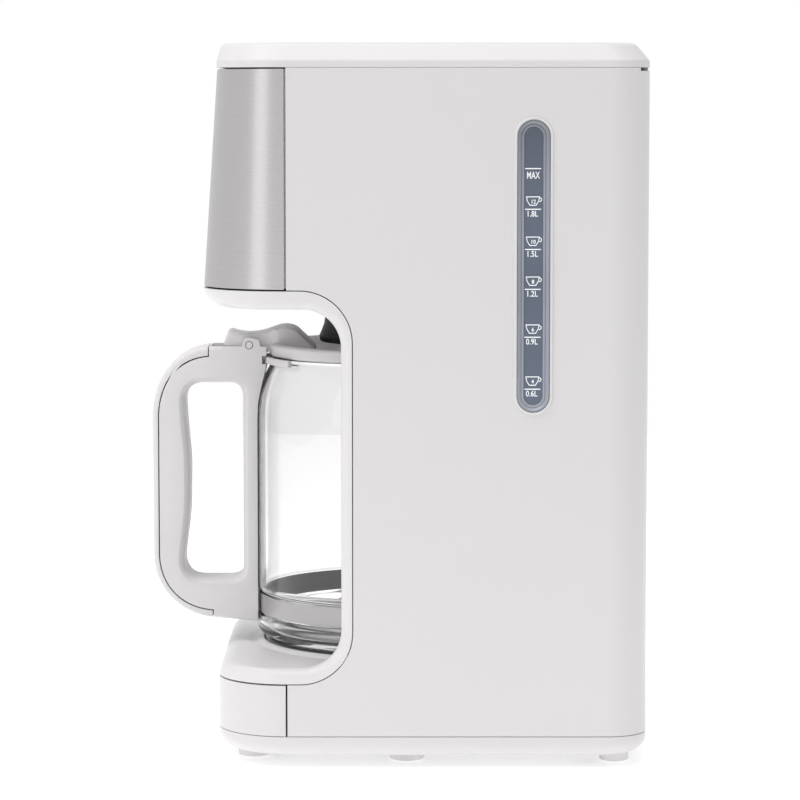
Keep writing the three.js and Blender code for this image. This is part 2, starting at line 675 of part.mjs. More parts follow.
function button(x) {
  const front = BASE_FRONT_Y - BUTTON.proud;
  return join(
    rodAlongY(BUTTON.radius, front, BASE_FRONT_Y + 3, x, BUTTON.z),
    rodAlongY(1.6, BASE_FRONT_Y + 2, BASE_FRONT_Y + 3.6, x, BUTTON.z, 12));
}

// ---------------------------------------------------------------- brew basket

function filterBasket() {
  return turned([
    [6, 228], [6, 225.5], [34, 225.5], [34.2, 219], [36.8, 211], [36.6, SKIRT_BOTTOM_Z],
    [39, SKIRT_BOTTOM_Z], [39.8, 210.5], [36.6, 219], [36.6, 234.5], [50, 236.5], [57, 243],
    [59.8, 338], [60, 341.3], [63.5, 341.3], [63.5, 343.3], [57.6, 343.3], [57.4, 338],
    [54.6, 244.5], [49, 238.9], [34.2, 236.5], [34.2, 229.5], [12, 228],
  ], 24);
}

function meshFilter() {
  return turned([
    [0, 241], [36, 241], [48, 248], [54.8, 338], [56.6, 338], [56.6, 339.4], [53.6, 339.4],
    [46.8, 249], [35.5, 242.4], [0, 242.4],
  ], 24);
}

function basketHandle() {
  const [outer, inner] = [62, 58.5];
  const outline = new THREE.Shape();
  outline.absarc(0, 0, outer, Math.PI, 2 * Math.PI);
  outline.absarc(0, 0, inner, 2 * Math.PI, Math.PI, true);
  return prism(outline, 343.7, 345.7, 12);
}

function dripStopPlunger() {
  return turned([
    [0, 207.8], [7.5, 207.8], [8, 208.4], [8, 210],
    [2.2, 210], [2.2, 230.2], [8.5, 230.2], [8.5, 231.8], [0, 231.8],
  ], 16);
}

function dripStopSeal() {
  return turned([[2.6, 228.3], [8.5, 228.3], [8.5, 229.9], [2.6, 229.9]], 16);
}

function dripStopSpring() {
  const [turns, pointsPerTurn, radius] = [3, 10, 4.6];
  const [z0, z1] = [211.1, 224.5];
  const points = [];
  const count = turns * pointsPerTurn;
  for (let i = 0; i <= count; i += 1) {
    const angle = (i / pointsPerTurn) * Math.PI * 2;
    const z = THREE.MathUtils.lerp(z0, z1, i / count);
    points.push([radius * Math.cos(angle), radius * Math.sin(angle), z]);
  }
  return tube(points, 0.6, { sides: 6, steps: 27 });
}

// ---------------------------------------------------------------- carafe

const GLASS_OUTSIDE = [
  [66, GLASS_BOTTOM_Z], [70.2, 54.4], [72.3, 57.5], [GLASS_RADIUS, 61], [GLASS_RADIUS, 64],
  [70.6, 65.4], [70.6, 77], [GLASS_RADIUS, 78.6], [GLASS_RADIUS, 168], [72.4, 176], [71, 182.5],
  [68.8, 188.5], [66.2, 194], [NECK_RADIUS, 198], [NECK_RADIUS, GLASS_TOP_Z],
];

function carafeGlass() {
  const inside = [
    [NECK_RADIUS - GLASS_WALL, GLASS_TOP_Z], [NECK_RADIUS - GLASS_WALL, 197.5], [66.4, 188],
    [70, 176], [70.6, 168], [70.6, 80], [68.4, 77], [68.4, 65], [70.2, 62], [66, 56.5], [60, 55.4],
  ];
  const underside = [[0, 54.4], [60, 54.4], [63, GLASS_BOTTOM_Z]];
  return turned([...underside, ...GLASS_OUTSIDE, ...inside, [0, 55.4]], 30);
}

// solid that the handle keeps clear of, a little larger than the glass
function glassClearance(grow) {
  return turned([
    [0, GLASS_BOTTOM_Z - 5], [GLASS_RADIUS + grow, GLASS_BOTTOM_Z - 5], [GLASS_RADIUS + grow, 170],
    [72.4 + grow, 176], [71 + grow, 182.5], [68.8 + grow, 188.5], [66.2 + grow, 194],
    [LID_RIM.radius + grow, 198.5], [LID_RIM.radius + grow, 215], [0, 215],
  ], 36);
}

function carafeBand() {
  const { lowZ, highZ, inner, outer } = BAND;
  return turned([[inner, lowZ], [outer, lowZ], [outer, highZ], [inner, highZ]], 30);
}

function neckClip() {
  const [inner, outer] = [66.9, 69];
  const halfAngle = 34;
  const start = THREE.MathUtils.degToRad(-90 - halfAngle);
  const end = THREE.MathUtils.degToRad(-90 + halfAngle);
  const outline = new THREE.Shape();
  outline.absarc(0, 0, outer, start, end);
  outline.absarc(0, 0, inner, end, start, true);
  return prism(outline, 194.6, 198.8, 14);
}

// side view of the whole handle, cover included, as [y, z] from the top of the strap round
// the grip to the foot of the strap
function handleSilhouette() {
  const shape = new THREE.Shape();
  const back = HANDLE_BACK_Y;
  shape.moveTo(-66, 203);
  shape.lineTo(-66, 205.4);
  shape.lineTo(-95, 205.4);
  shape.bezierCurveTo(-112, 205, back + 0.4, 192, back, 168);
  shape.lineTo(back + 0.2, 96);
  shape.bezierCurveTo(back + 0.4, 76, -110, 63.4, -94, 62.8);
  shape.lineTo(-73.4, 61.2);
  shape.lineTo(-66, 61.2);
  return shape;
}

function fingerOpening() {
  const shape = new THREE.Shape();
  shape.moveTo(-86, 186.4);
  shape.lineTo(-101, 186.4);
  shape.bezierCurveTo(-107, 186, -110.4, 181, -109.6, 175);
  shape.bezierCurveTo(-109.2, 162, -107.4, 152, -107.2, 144);
  shape.lineTo(-107.4, 123);
  shape.bezierCurveTo(-107.8, 112, -109.6, 104, -110.4, 94);
  shape.bezierCurveTo(-110.4, 87, -107, 83.6, -101, 83.4);
  shape.lineTo(-86, 83.4);
  shape.bezierCurveTo(-81.5, 83.6, -79.6, 86, -79.6, 90);
  shape.lineTo(-79.4, 179);
  shape.bezierCurveTo(-79.6, 184, -82, 186.2, -86, 186.4);
  return shape;
}

// the part of the side view that belongs to the outer cover of the grip
function coverZone(grow) {
  const shape = new THREE.Shape();
  shape.moveTo(-97.4 + grow, 215);
  shape.lineTo(-97.4 + grow, 200.6 - grow);
  shape.bezierCurveTo(-111 + grow, 199.6 - grow, -122.4 + grow, 190, -123.6 + grow, 170);
  shape.lineTo(-123.6 + grow, 96);
  shape.bezierCurveTo(-123 + grow, 78, -110 + grow, 67.4 + grow, -95.6 + grow, 66.8 + grow);
  shape.lineTo(-95.6 + grow, 50);
  shape.lineTo(-140, 50);
  shape.lineTo(-140, 215);
  return shape;
}

function handleBar(halfWidth) {
  return prismAcross(handleSilhouette(), -halfWidth, halfWidth, 12);
}

function carafeHandle() {
  const ear = shapeOf([
    [-81, 200], [-69.4, 200], [-70.6, 208.6], [-72.4, 210.6], [-77, 210.6], [-78.4, 208.6],
  ]);
  const ears = [-1, 1].map(side => {
    const [x0, x1] = side > 0 ? [HANDLE_HALF_WIDTH - EAR_THICKNESS, HANDLE_HALF_WIDTH]
      : [-HANDLE_HALF_WIDTH, -HANDLE_HALF_WIDTH + EAR_THICKNESS];
    return prismAcross(ear, x0, x1);
  });
  const leverSlot = box([-LEVER_HALF_WIDTH - 0.4, LEVER_HALF_WIDTH + 0.4], [-96, -60], [200.8, 220]);
  const clipSlot = box([-20, 20], [-69.4, -60], [194.2, 199.2]);
  const bandSlot = turned([[0, BAND.lowZ - 0.4], [BAND.outer + 0.4, BAND.lowZ - 0.4],
    [BAND.outer + 0.4, BAND.highZ + 0.4], [0, BAND.highZ + 0.4]], 36);
  return cut(
    join(handleBar(HANDLE_HALF_WIDTH), ...ears),
    prismAcross(fingerOpening(), -40, 40, 6),
    prismAcross(coverZone(GAP), -40, 40, 12),
    glassClearance(0.4),
    leverSlot,
    clipSlot,
    bandSlot,
    rodAlongX(PIVOT.pin + GAP, -40, 40, PIVOT.y, PIVOT.z, 16),
    rodAlongY(1.9, -83, -60, 0, 71.2, 16),
    rodAlongY(3.6, -90, -77.6, 0, 71.2, 16));
}

function handleCover() {
  return handleBar(HANDLE_HALF_WIDTH)
    .intersect(prismAcross(coverZone(0), -40, 40, 12))
    .subtract(prismAcross(fingerOpening(), -40, 40, 6));
}

function bandScrew() {
  return join(
    rodAlongY(1.6, -80, -72.2, 0, 71.2, 12),
    rodAlongY(3.2, -81.6, -79.8, 0, 71.2, 16));
}

function pivotPin() {
  return rodAlongX(PIVOT.pin, -HANDLE_HALF_WIDTH - 0.2, HANDLE_HALF_WIDTH + 0.2, PIVOT.y, PIVOT.z, 16);
}

function carafeLid() {
  const { radius, lowZ, highZ } = LID_RIM;
  const plugRadius = NECK_RADIUS - GLASS_WALL - 0.8;
  const plugBottomZ = 193;
  const cap = turned([
    [7, 200.6], [7, 198.6], [44, 198.6], [56, 200.3], [plugRadius - 2, 200.3], [plugRadius - 2, plugBottomZ],
    [plugRadius, plugBottomZ], [plugRadius, lowZ + 0.2], [radius, lowZ + 0.2], [radius, highZ - 1],
    [radius - 1, highZ], [61, highZ], [52, 203.6], [46, 200.6],
  ], 30);
  const lever = new THREE.Shape();
  lever.moveTo(-89.8, 205.8);
  lever.lineTo(-87, 213.3);
  lever.lineTo(-85.5, 213.6);
  lever.bezierCurveTo(-79, 211.4, -73, 211.4, -66.4, 213.6);
  lever.bezierCurveTo(-60, 216, -54, 216.4, -48.6, 212.4);
  lever.lineTo(-41.8, 206.4);
  lever.lineTo(-41.8, 201);
  lever.lineTo(-62, 201);
  lever.lineTo(-66.5, 202.8);
  lever.lineTo(-86, 203.2);
  const arm = prismAcross(lever, -LEVER_HALF_WIDTH, LEVER_HALF_WIDTH, 8);
  const rimCut = box([-LEVER_HALF_WIDTH - 4.2, LEVER_HALF_WIDTH + 4.2], [-70.4, -62], [195, 200.4]);
  return cut(join(cap, arm), rimCut, rodAlongX(PIVOT.pin + GAP, -40, 40, PIVOT.y, PIVOT.z, 16));
}

// ---------------------------------------------------------------- feet and screws

const FEET = [
  ['foot_front', 59.5, -71.5, 8.5],
  ['foot_middle', 70.5, 6, 8.8],
  ['foot_rear', 73, 111, 7.4],
];

function foot(x, y, radius) {
  return turned([
    [0, 0], [radius - 1, 0], [radius, 0.8], [radius, FOOT_HEIGHT - GAP], [0, FOOT_HEIGHT - GAP],
  ], 16).translate([x, y, 0]);
}

function baseScrew(x, y) {
  return turned([[0, 6], [3.2, 6], [3.2, 8], [1.6, 8.4], [1.6, 22], [0, 22]], 12).translate([x, y, 0]);
}

// ---------------------------------------------------------------- assembly

place('main_housing', mainHousing(), 'white');
place('head_front_panel', headFrontPanel(), 'steel');
place('base_front_cover', baseFrontCover(), 'white');
place('bay_liner', bayLiner(), 'white');
place('base_tray', baseTray(), 'white');
place('top_deck', topDeck(), 'white');
place('water_tank', waterTank(), 'tankPlastic');
place('window_bezel', windowBezel(), 'smoke');
place('level_window', levelWindow(), 'smoke');
place('tank_outlet_hose', tankOutletHose(), 'silicone');
place('check_valve', checkValve(), 'white');
place('heater_inlet_hose', heaterInletHose(), 'silicone');
place('riser_hose', riserHose(), 'silicone');
place('outlet_spout', outletSpout(), 'white');
place('warming_plate', warmingPlate(), 'coating');
place('heating_element', heatingElement(), 'aluminium');
place('heater_bracket', heaterBracket(), 'steel');
place('thermostat', thermostat(), 'aluminium');
place('thermal_fuse', thermalFuse(), 'steel');
place('control_board', controlBoard(), 'board');
place('lcd_display', lcdDisplay(), 'black');
place('display_lens', displayLens(), 'smoke');
place('power_board', powerBoard(), 'board');
place('cord_gland', cordGland(), 'white');
BUTTON.places.forEach((x, i) => place(BUTTON_NAMES[i], button(x), 'white'));

place('filter_basket', filterBasket(), 'black');
place('mesh_filter', meshFilter(), 'mesh');
place('basket_handle', basketHandle(), 'black');
place('drip_stop_plunger', dripStopPlunger(), 'black');
place('drip_stop_seal', dripStopSeal(), 'silicone');
place('drip_stop_spring', dripStopSpring(), 'steel');

place('top_lid', topLid(), 'white');
place('shower_head', showerHead(), 'white');
for (const [name, x0, x1] of [['lid_hinge_pin_left', -77, -54], ['lid_hinge_pin_right', 54, 77]]) {
  place(name, rodAlongX(LID_HINGE.pin - 0.2, x0, x1, LID_HINGE.y, LID_HINGE.z, 12), 'steel');
}

place('carafe_glass', carafeGlass(), 'glass');
place('carafe_band', carafeBand(), 'steel');
place('band_screw', bandScrew(), 'steel');
place('carafe_handle', carafeHandle(), 'handleWhite');
place('handle_cover', handleCover(), 'handleWhite');
place('neck_clip', neckClip(), 'handleWhite');
place('carafe_lid', carafeLid(), 'handleWhite');
place('lid_pivot_pin', pivotPin(), 'handleWhite');

for (const [name, x, y, radius] of FEET) {
  place(`${name}_left`, foot(-x, y, radius), 'rubber');
  place(`${name}_right`, foot(x, y, radius), 'rubber');
}
SCREW_PLACES.forEach(([x, y], i) => place(`base_screw_${i + 1}`, baseScrew(x, y), 'steel'));

export default root;
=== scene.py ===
"""Drip coffee maker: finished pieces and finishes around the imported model.

Sizes inside the script are in millimetres; the helpers turn them into the scene's metres.
"""

import math

import bmesh
import bpy
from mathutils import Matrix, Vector


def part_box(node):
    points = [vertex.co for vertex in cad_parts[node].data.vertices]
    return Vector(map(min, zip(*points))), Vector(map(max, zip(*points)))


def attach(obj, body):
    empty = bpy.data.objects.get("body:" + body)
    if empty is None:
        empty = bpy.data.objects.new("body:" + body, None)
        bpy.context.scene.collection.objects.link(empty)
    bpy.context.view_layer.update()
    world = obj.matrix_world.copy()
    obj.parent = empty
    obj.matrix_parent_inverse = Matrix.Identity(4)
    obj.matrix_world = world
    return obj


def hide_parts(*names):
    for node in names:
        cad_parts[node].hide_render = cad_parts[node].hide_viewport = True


bl_info = {
    "name": "Drip Coffee Maker",
    "version": (1, 0, 0),
    "blender": (4, 5, 0),
    "location": "View3D > Sidebar > Coffee Maker",
    "description": "Builds the finished shells, carafe, level window and controls of a drip coffee maker",
    "category": "Add Mesh",
}

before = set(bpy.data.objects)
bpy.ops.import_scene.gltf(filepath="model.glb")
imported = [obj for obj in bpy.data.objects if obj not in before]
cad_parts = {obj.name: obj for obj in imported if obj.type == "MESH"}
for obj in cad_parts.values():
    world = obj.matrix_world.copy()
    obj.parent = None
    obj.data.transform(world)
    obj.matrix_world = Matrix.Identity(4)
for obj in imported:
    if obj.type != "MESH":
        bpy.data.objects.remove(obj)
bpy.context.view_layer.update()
MM = 0.001


def box_mm(node):
    """A CAD node's low and high corners in millimetres"""
    low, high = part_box(node)
    return Vector(low) / MM, Vector(high) / MM


HOUSING_LOW, HOUSING_HIGH = box_mm("main_housing")
COVER_LOW, COVER_HIGH = box_mm("base_front_cover")
LID_HIGH = box_mm("top_lid")[1]
WINDOW_LOW, WINDOW_HIGH = box_mm("window_bezel")

GAP = 0.3
EPS = 1e-4
HALF = HOUSING_HIGH.x
REAR = LID_HIGH.y
SEAM = COVER_HIGH.y + GAP
BASE_FRONT = COVER_LOW.y
CHIN_FRONT, HEAD_FRONT = -96.5, -89.4
LID_BOTTOM = 349.3
HINGE_Y, HINGE_Z = 124.0, 350.5
HINGE_PIN, KNUCKLE = 1.0, 2.2

TRIM_OUTER = {"depth": -20.8, "low": 42.4, "high": 239.7, "radius": 26.5}
TRIM_INNER = {"depth": -26.8, "low": 50.4, "high": 230.0, "radius": 19.0}
BAY_MOUTH = 91.0
BASE_CORNER = 35.3

BUTTONS = ("brew_button", "program_button", "hour_button", "minute_button")
SCREWS = ((-60, -58), (60, -58), (-78, 96), (78, 96))
FEET = tuple(f"foot_{place}_{side}" for place in ("front", "middle", "rear") for side in ("left", "right"))


# ------------------------------------------------------------------ user settings

def length(name, description, default_mm):
    return bpy.props.FloatProperty(
        name=name, description=description, default=default_mm * MM, min=0.0, unit="LENGTH", precision=5)


def colour(name, description, *default):
    return bpy.props.FloatVectorProperty(
        name=name, description=description, default=default, min=0.0, max=1.0, subtype="COLOR")


class ShellSizes(bpy.types.PropertyGroup):
    """Sizes of the moulded shells"""
    wall: length("Wall", "Thickness of the moulded plastic walls", 2.4)
    head_corner: length("Head corner", "Radius of the head's lower front corners", 42.2)
    rear_corner: length("Rear corner", "Radius of the rear corners", 20.0)
    edge: length("Edge", "Small rounding on the edges of the mouldings", 0.35)
    trim_edge: length("Bay edge", "Rounding on the inner edge of the bay's trim", 5.0)
    bay: length("Bay", "Radius of the bay's curved wall", 79.0)
    window_lip: length("Window lip", "Width of the raised lip round the level window", 1.5)


class CarafeSizes(bpy.types.PropertyGroup):
    """Sizes of the carafe"""
    glass_wall: length("Glass", "Thickness of the glass", 2.2)
    grip_edge: length("Grip edge", "Rounding of the grip where the fingers go", 5.0)
    handle_edge: length("Handle edge", "Rounding of the handle's outer edges", 2.2)
    lever_edge: length("Lever edge", "Rounding of the thumb lever", 1.8)


class FinishColours(bpy.types.PropertyGroup):
    """Colours of the finishes"""
    body: colour("Body", "Moulded white of the outer shells", 0.70, 0.685, 0.69)
    # the liner is set lighter than the body's white: painted light that lifts the bay, which sits in the
    # head's shade
    liner: colour("Liner", "Moulded white of the bay and the inner parts", 0.735, 0.72, 0.725)
    handle: colour("Handle", "Satin white of the carafe's handle and lid", 0.72, 0.705, 0.71)
    steel: colour("Steel", "Brushed metal of the head panel and the band", 0.535, 0.52, 0.525)
    smoke: colour("Window", "Tint of the level window", 0.145, 0.175, 0.245)
    black: colour("Basket", "Black moulding of the brew basket", 0.012, 0.011, 0.0115)


GROUPS = {"maker_shell": ShellSizes, "maker_carafe": CarafeSizes, "maker_colours": FinishColours}


class Millimetres:
    """A property group's lengths, read in millimetres"""

    def __init__(self, group):
        self.group = group

    def __getattr__(self, name):
        return getattr(getattr(bpy.context.scene, self.group), name) / MM


SHELL, CARAFE = Millimetres("maker_shell"), Millimetres("maker_carafe")


# ------------------------------------------------------------------ modelling helpers

def activate(piece):
    bpy.ops.object.select_all(action="DESELECT")
    piece.select_set(True)
    bpy.context.view_layer.objects.active = piece


class Editing:
    """Edit mode on one piece, starting with nothing selected"""

    def __init__(self, piece):
        self.piece = piece

    def __enter__(self):
        activate(self.piece)
        bpy.ops.object.mode_set(mode="EDIT")
        bpy.ops.mesh.select_all(action="DESELECT")
        return self

    def __exit__(self, *_):
        bpy.ops.object.mode_set(mode="OBJECT")

    def pick(self, kind, test):
        """Selects the vertices, edges or faces that pass a test, and nothing else"""
        bpy.ops.mesh.select_mode(type=kind)
        bpy.ops.mesh.select_all(action="DESELECT")
        mesh = bmesh.from_edit_mesh(self.piece.data)
        for element in {"VERT": mesh.verts, "EDGE": mesh.edges, "FACE": mesh.faces}[kind]:
            if test(element):
                element.select_set(True)
        mesh.select_flush_mode()
        bmesh.update_edit_mesh(self.piece.data)

    def all(self):
        bpy.ops.mesh.select_mode(type="VERT")
        bpy.ops.mesh.select_all(action="SELECT")

    def tidy(self):
        """Merges doubled points and turns every face outwards"""
        self.all()
        bpy.ops.mesh.remove_doubles(threshold=2e-6)
        bpy.ops.mesh.normals_make_consistent(inside=False)


def add(operator, **settings):
    """Adds an object with nothing else selected"""
    bpy.ops.object.select_all(action="DESELECT")
    operator(**settings)
    return bpy.context.object


def settle(piece, name):
    """Names a new piece and puts its place into its mesh"""
    piece.name = name
    activate(piece)
    bpy.ops.object.transform_apply(location=True, rotation=True, scale=True)
    return piece


def block(name, low, high):
    low, high = Vector(low) * MM, Vector(high) * MM
    cube = add(bpy.ops.mesh.primitive_cube_add, size=1, location=(low + high) / 2, scale=high - low)
    return settle(cube, name)


def rod(name, radius, start, end, vertices=48):
    """A cylinder between two points on a line along one axis"""
    start, end = Vector(start) * MM, Vector(end) * MM
    along = [abs(a) for a in end - start]
    turn = [(0, math.pi / 2, 0), (math.pi / 2, 0, 0), (0, 0, 0)][along.index(max(along))]
    return settle(add(
        bpy.ops.mesh.primitive_cylinder_add, vertices=vertices, radius=radius * MM,
        depth=(end - start).length, location=(start + end) / 2, rotation=turn), name)


def fillet(corners, steps=8):
    """Points of a closed outline whose corners are (a, b, radius), with an arc at each radius"""
    points = []
    for i, (a, b, radius) in enumerate(corners):
        here = Vector((a, b))
        if radius <= 0:
            points.append(here)
            continue
        before = (Vector(corners[i - 1][:2]) - here).normalized()
        after = (Vector(corners[(i + 1) % len(corners)][:2]) - here).normalized()
        half = before.angle(after) / 2
        centre = here + (before + after).normalized() * (radius / math.sin(half))
        start = here + before * (radius / math.tan(half)) - centre
        end = here + after * (radius / math.tan(half)) - centre
        swing = end.angle_signed(start)
        for step in range(steps + 1):
            turn = swing * step / steps
            points.append(centre + Vector((
                start.x * math.cos(turn) - start.y * math.sin(turn),
                start.x * math.sin(turn) + start.y * math.cos(turn))))
    return points


def path(*legs):
    """Points through legs: each is a plain point, or a curve as (control, control, end, steps)"""
    points = []
    for leg in legs:
        if len(leg) == 2:
            points.append(Vector(leg))
            continue
        p0 = points[-1]
        p1, p2, p3 = (Vector(p) for p in leg[:3])
        for step in range(1, leg[3] + 1):
            t = step / leg[3]
            s = 1 - t
            points.append(p0 * s ** 3 + p1 * 3 * s * s * t + p2 * 3 * s * t * t + p3 * t ** 3)
    return points


def quarter(steps):
    """Rise and set-back of the points round a quarter circle of radius one, without the first"""
    turns = [math.pi / 2 * step / steps for step in range(1, steps + 1)]
    return [(math.sin(turn), 1 - math.cos(turn)) for turn in turns]


def side_view(x, points):
    """Places (y, z) points in the upright plane at x"""
    return [(x, y, z) for y, z in points]


def plan_view(z, points):
    """Places (x, y) points in the level plane at z"""
    return [(x, y, z) for x, y in points]


def trace(name, places, filled=False):
    """A chain of edges through points, extruded one at a time from a single vertex"""
    places = [Vector(place) * MM for place in places]
    piece = add(bpy.ops.mesh.primitive_plane_add, size=MM, location=(0, 0, 0))
    piece.name = name
    with Editing(piece) as edit:
        edit.all()
        bpy.ops.mesh.merge(type="CENTER")
        bpy.ops.transform.translate(value=places[0])
        for here, there in zip(places, places[1:]):
            bpy.ops.mesh.extrude_region_move(TRANSFORM_OT_translate={"value": there - here})
        if filled:
            edit.all()
            bpy.ops.mesh.edge_face_add()
    return piece


def slab(name, places, reach):
    """A flat outline made solid by extruding its face along reach"""
    piece = trace(name, places, filled=True)
    with Editing(piece) as edit:
        edit.all()
        bpy.ops.mesh.extrude_region_move(TRANSFORM_OT_translate={"value": Vector(reach) * MM})
        edit.tidy()
    return piece


def across(name, outline, low, high):
    """A side view in (y, z) made solid from low to high across the machine"""
    return slab(name, side_view(low, outline), (high - low, 0, 0))


def turned(name, profile, steps=96, closed=False, centre=(0, 0)):
    """A profile of (radius, z) spun about the vertical through centre"""
    x, y = centre
    points = [*profile, profile[0]] if closed else profile
    piece = trace(name, [(x + r, y, z) for r, z in points])
    with Editing(piece) as edit:
        edit.all()
        bpy.ops.mesh.spin(steps=steps, angle=2 * math.pi, center=(x * MM, y * MM, 0), axis=(0, 0, 1))
        edit.tidy()
    return piece


def modify(piece, kind, **settings):
    """Adds a modifier and applies it"""
    activate(piece)
    modifier = piece.modifiers.new(kind.title(), kind)
    for key, value in settings.items():
        setattr(modifier, key, value)
    bpy.ops.object.modifier_apply(modifier=modifier.name)
    return piece


def carve(piece, *cutters, operation="DIFFERENCE"):
    """Cuts, joins or intersects a piece with others, which are used up"""
    for cutter in cutters:
        modify(piece, "BOOLEAN", operation=operation, object=cutter, solver="EXACT")
        bpy.data.objects.remove(cutter)
    return piece


def unite(piece, *others):
    return carve(piece, *others, operation="UNION")


def clean(piece, angle=0.6, reach=2e-6):
    """Merges the flat neighbours that cutting leaves behind"""
    with Editing(piece) as edit:
        edit.all()
        bpy.ops.mesh.remove_doubles(threshold=reach)
        bpy.ops.mesh.dissolve_limited(angle_limit=math.radians(angle))
    return piece


def round_edges(piece, width, segments=3, angle=40):
    """Rounds the edges that turn more sharply than an angle"""
    return modify(piece, "BEVEL", width=width * MM, segments=segments, limit_method="ANGLE",
                  angle_limit=math.radians(angle), use_clamp_overlap=True)


def bevel_where(piece, test, width, segments):
    """Rounds the edges whose two ends pass a test, given in millimetres"""
    with Editing(piece) as edit:
        edit.pick("EDGE", lambda edge: test(*(v.co / MM for v in edge.verts)))
        bpy.ops.mesh.bevel(offset=width * MM, offset_type="OFFSET", segments=segments, affect="EDGES")
    return piece


def rounded_block(name, low, high, front, rear, segments=16):
    """A box whose upright corners are rounded, front and rear each with a radius"""
    piece = block(name, low, high)
    middle = (low[1] + high[1]) / 2
    for radius, side in ((front, -1), (rear, 1)):
        if radius > 0:
            bevel_where(piece, lambda a, b: abs(a.z - b.z) > EPS and abs(a.y - b.y) < EPS
                        and (a.y - middle) * side > 0, radius, segments)
    return piece


def stack(piece, start, levels):
    """Extrudes the end face at z=start through levels of (z, half width, front y, rear y)"""
    with Editing(piece) as edit:
        edit.pick("FACE", lambda f: all(abs(v.co.z / MM - start) < 0.01 for v in f.verts))
        ring = [v.co / MM for v in bmesh.from_edit_mesh(piece.data).verts if v.select]
        z, half = start, max(c.x for c in ring)
        front, rear = min(c.y for c in ring), max(c.y for c in ring)
        for next_z, next_half, next_front, next_rear in levels:
            middle = (front + rear) / 2
            shift = (next_front + next_rear) / 2 - middle
            bpy.ops.mesh.extrude_region_move(
                TRANSFORM_OT_translate={"value": Vector((0, shift, next_z - z)) * MM})
            bpy.ops.transform.resize(
                value=(next_half / half, (next_rear - next_front) / (rear - front), 1),
                center_override=Vector((0, middle + shift, next_z)) * MM)
            z, half, front, rear = next_z, next_half, next_front, next_rear
    return piece


def delete_faces(piece, test):
    with Editing(piece) as edit:
        edit.pick("FACE", test)
        bpy.ops.mesh.delete(type="FACE")


def join(first, *others):
    """Makes several pieces one mesh"""
    bpy.ops.object.select_all(action="DESELECT")
    for piece in (first, *others):
        piece.select_set(True)
    bpy.context.view_layer.objects.active = first
    bpy.ops.object.join()
    return first


def ribbon(name, first, second):
    """A surface between two chains with equal numbers of points"""
    piece = join(trace(name, first), trace(name + "_edge", second))
    with Editing(piece) as edit:
        edit.all()
        bpy.ops.mesh.bridge_edge_loops()
    return piece


def thicken(piece, wall):
    """Gives a surface a wall on its inner side"""
    return modify(piece, "SOLIDIFY", thickness=wall * MM, offset=-1.0, use_even_offset=True, use_rim=True)


def wrapped(name, low, bottom, high, top, wall):
    """A walled sheet round the front, from the plan bottom at z=low to the plan top at z=high"""
    piece = ribbon(name, plan_view(low, bottom), plan_view(high, top))
    foremost = min(piece.data.polygons, key=lambda p: p.center.y)
    if foremost.normal.y > 0:
        with Editing(piece) as edit:
            edit.all()
            bpy.ops.mesh.flip_normals()
    return thicken(piece, wall)


def finer(node, name, edge, segments=2):
    """A merged copy of a CAD node with its edges rounded"""
    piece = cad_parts[node].copy()
    piece.data = piece.data.copy()
    piece.name = name
    bpy.context.collection.objects.link(piece)
    piece.parent = None
    for key in list(piece.keys()):
        del piece[key]
    clean(piece, 1, 1e-6)
    return round_edges(piece, edge, segments)


def deliver(piece, slot, body, *nodes, smooth=32, finish=None):
    """Gives a piece its finish and its body, and hides the CAD nodes that it stands for"""
    piece.data.materials.clear()
    piece.data.materials.append(finishes[finish or slot])
    activate(piece)
    bpy.ops.object.shade_smooth_by_angle(angle=math.radians(smooth))
    modify(piece, "WEIGHTED_NORMAL", keep_sharp=True, weight=50)
    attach(piece, body)
    if nodes:
        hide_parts(*nodes)


def refine(body, suffix, smooth, *parts):
    """Delivers finer copies of CAD nodes, each given as (node, slot, rounding)"""
    for node, slot, edge in parts:
        deliver(finer(node, node + suffix, edge), slot, body, node, smooth=smooth)


# ------------------------------------------------------------------ finishes

finishes = {}


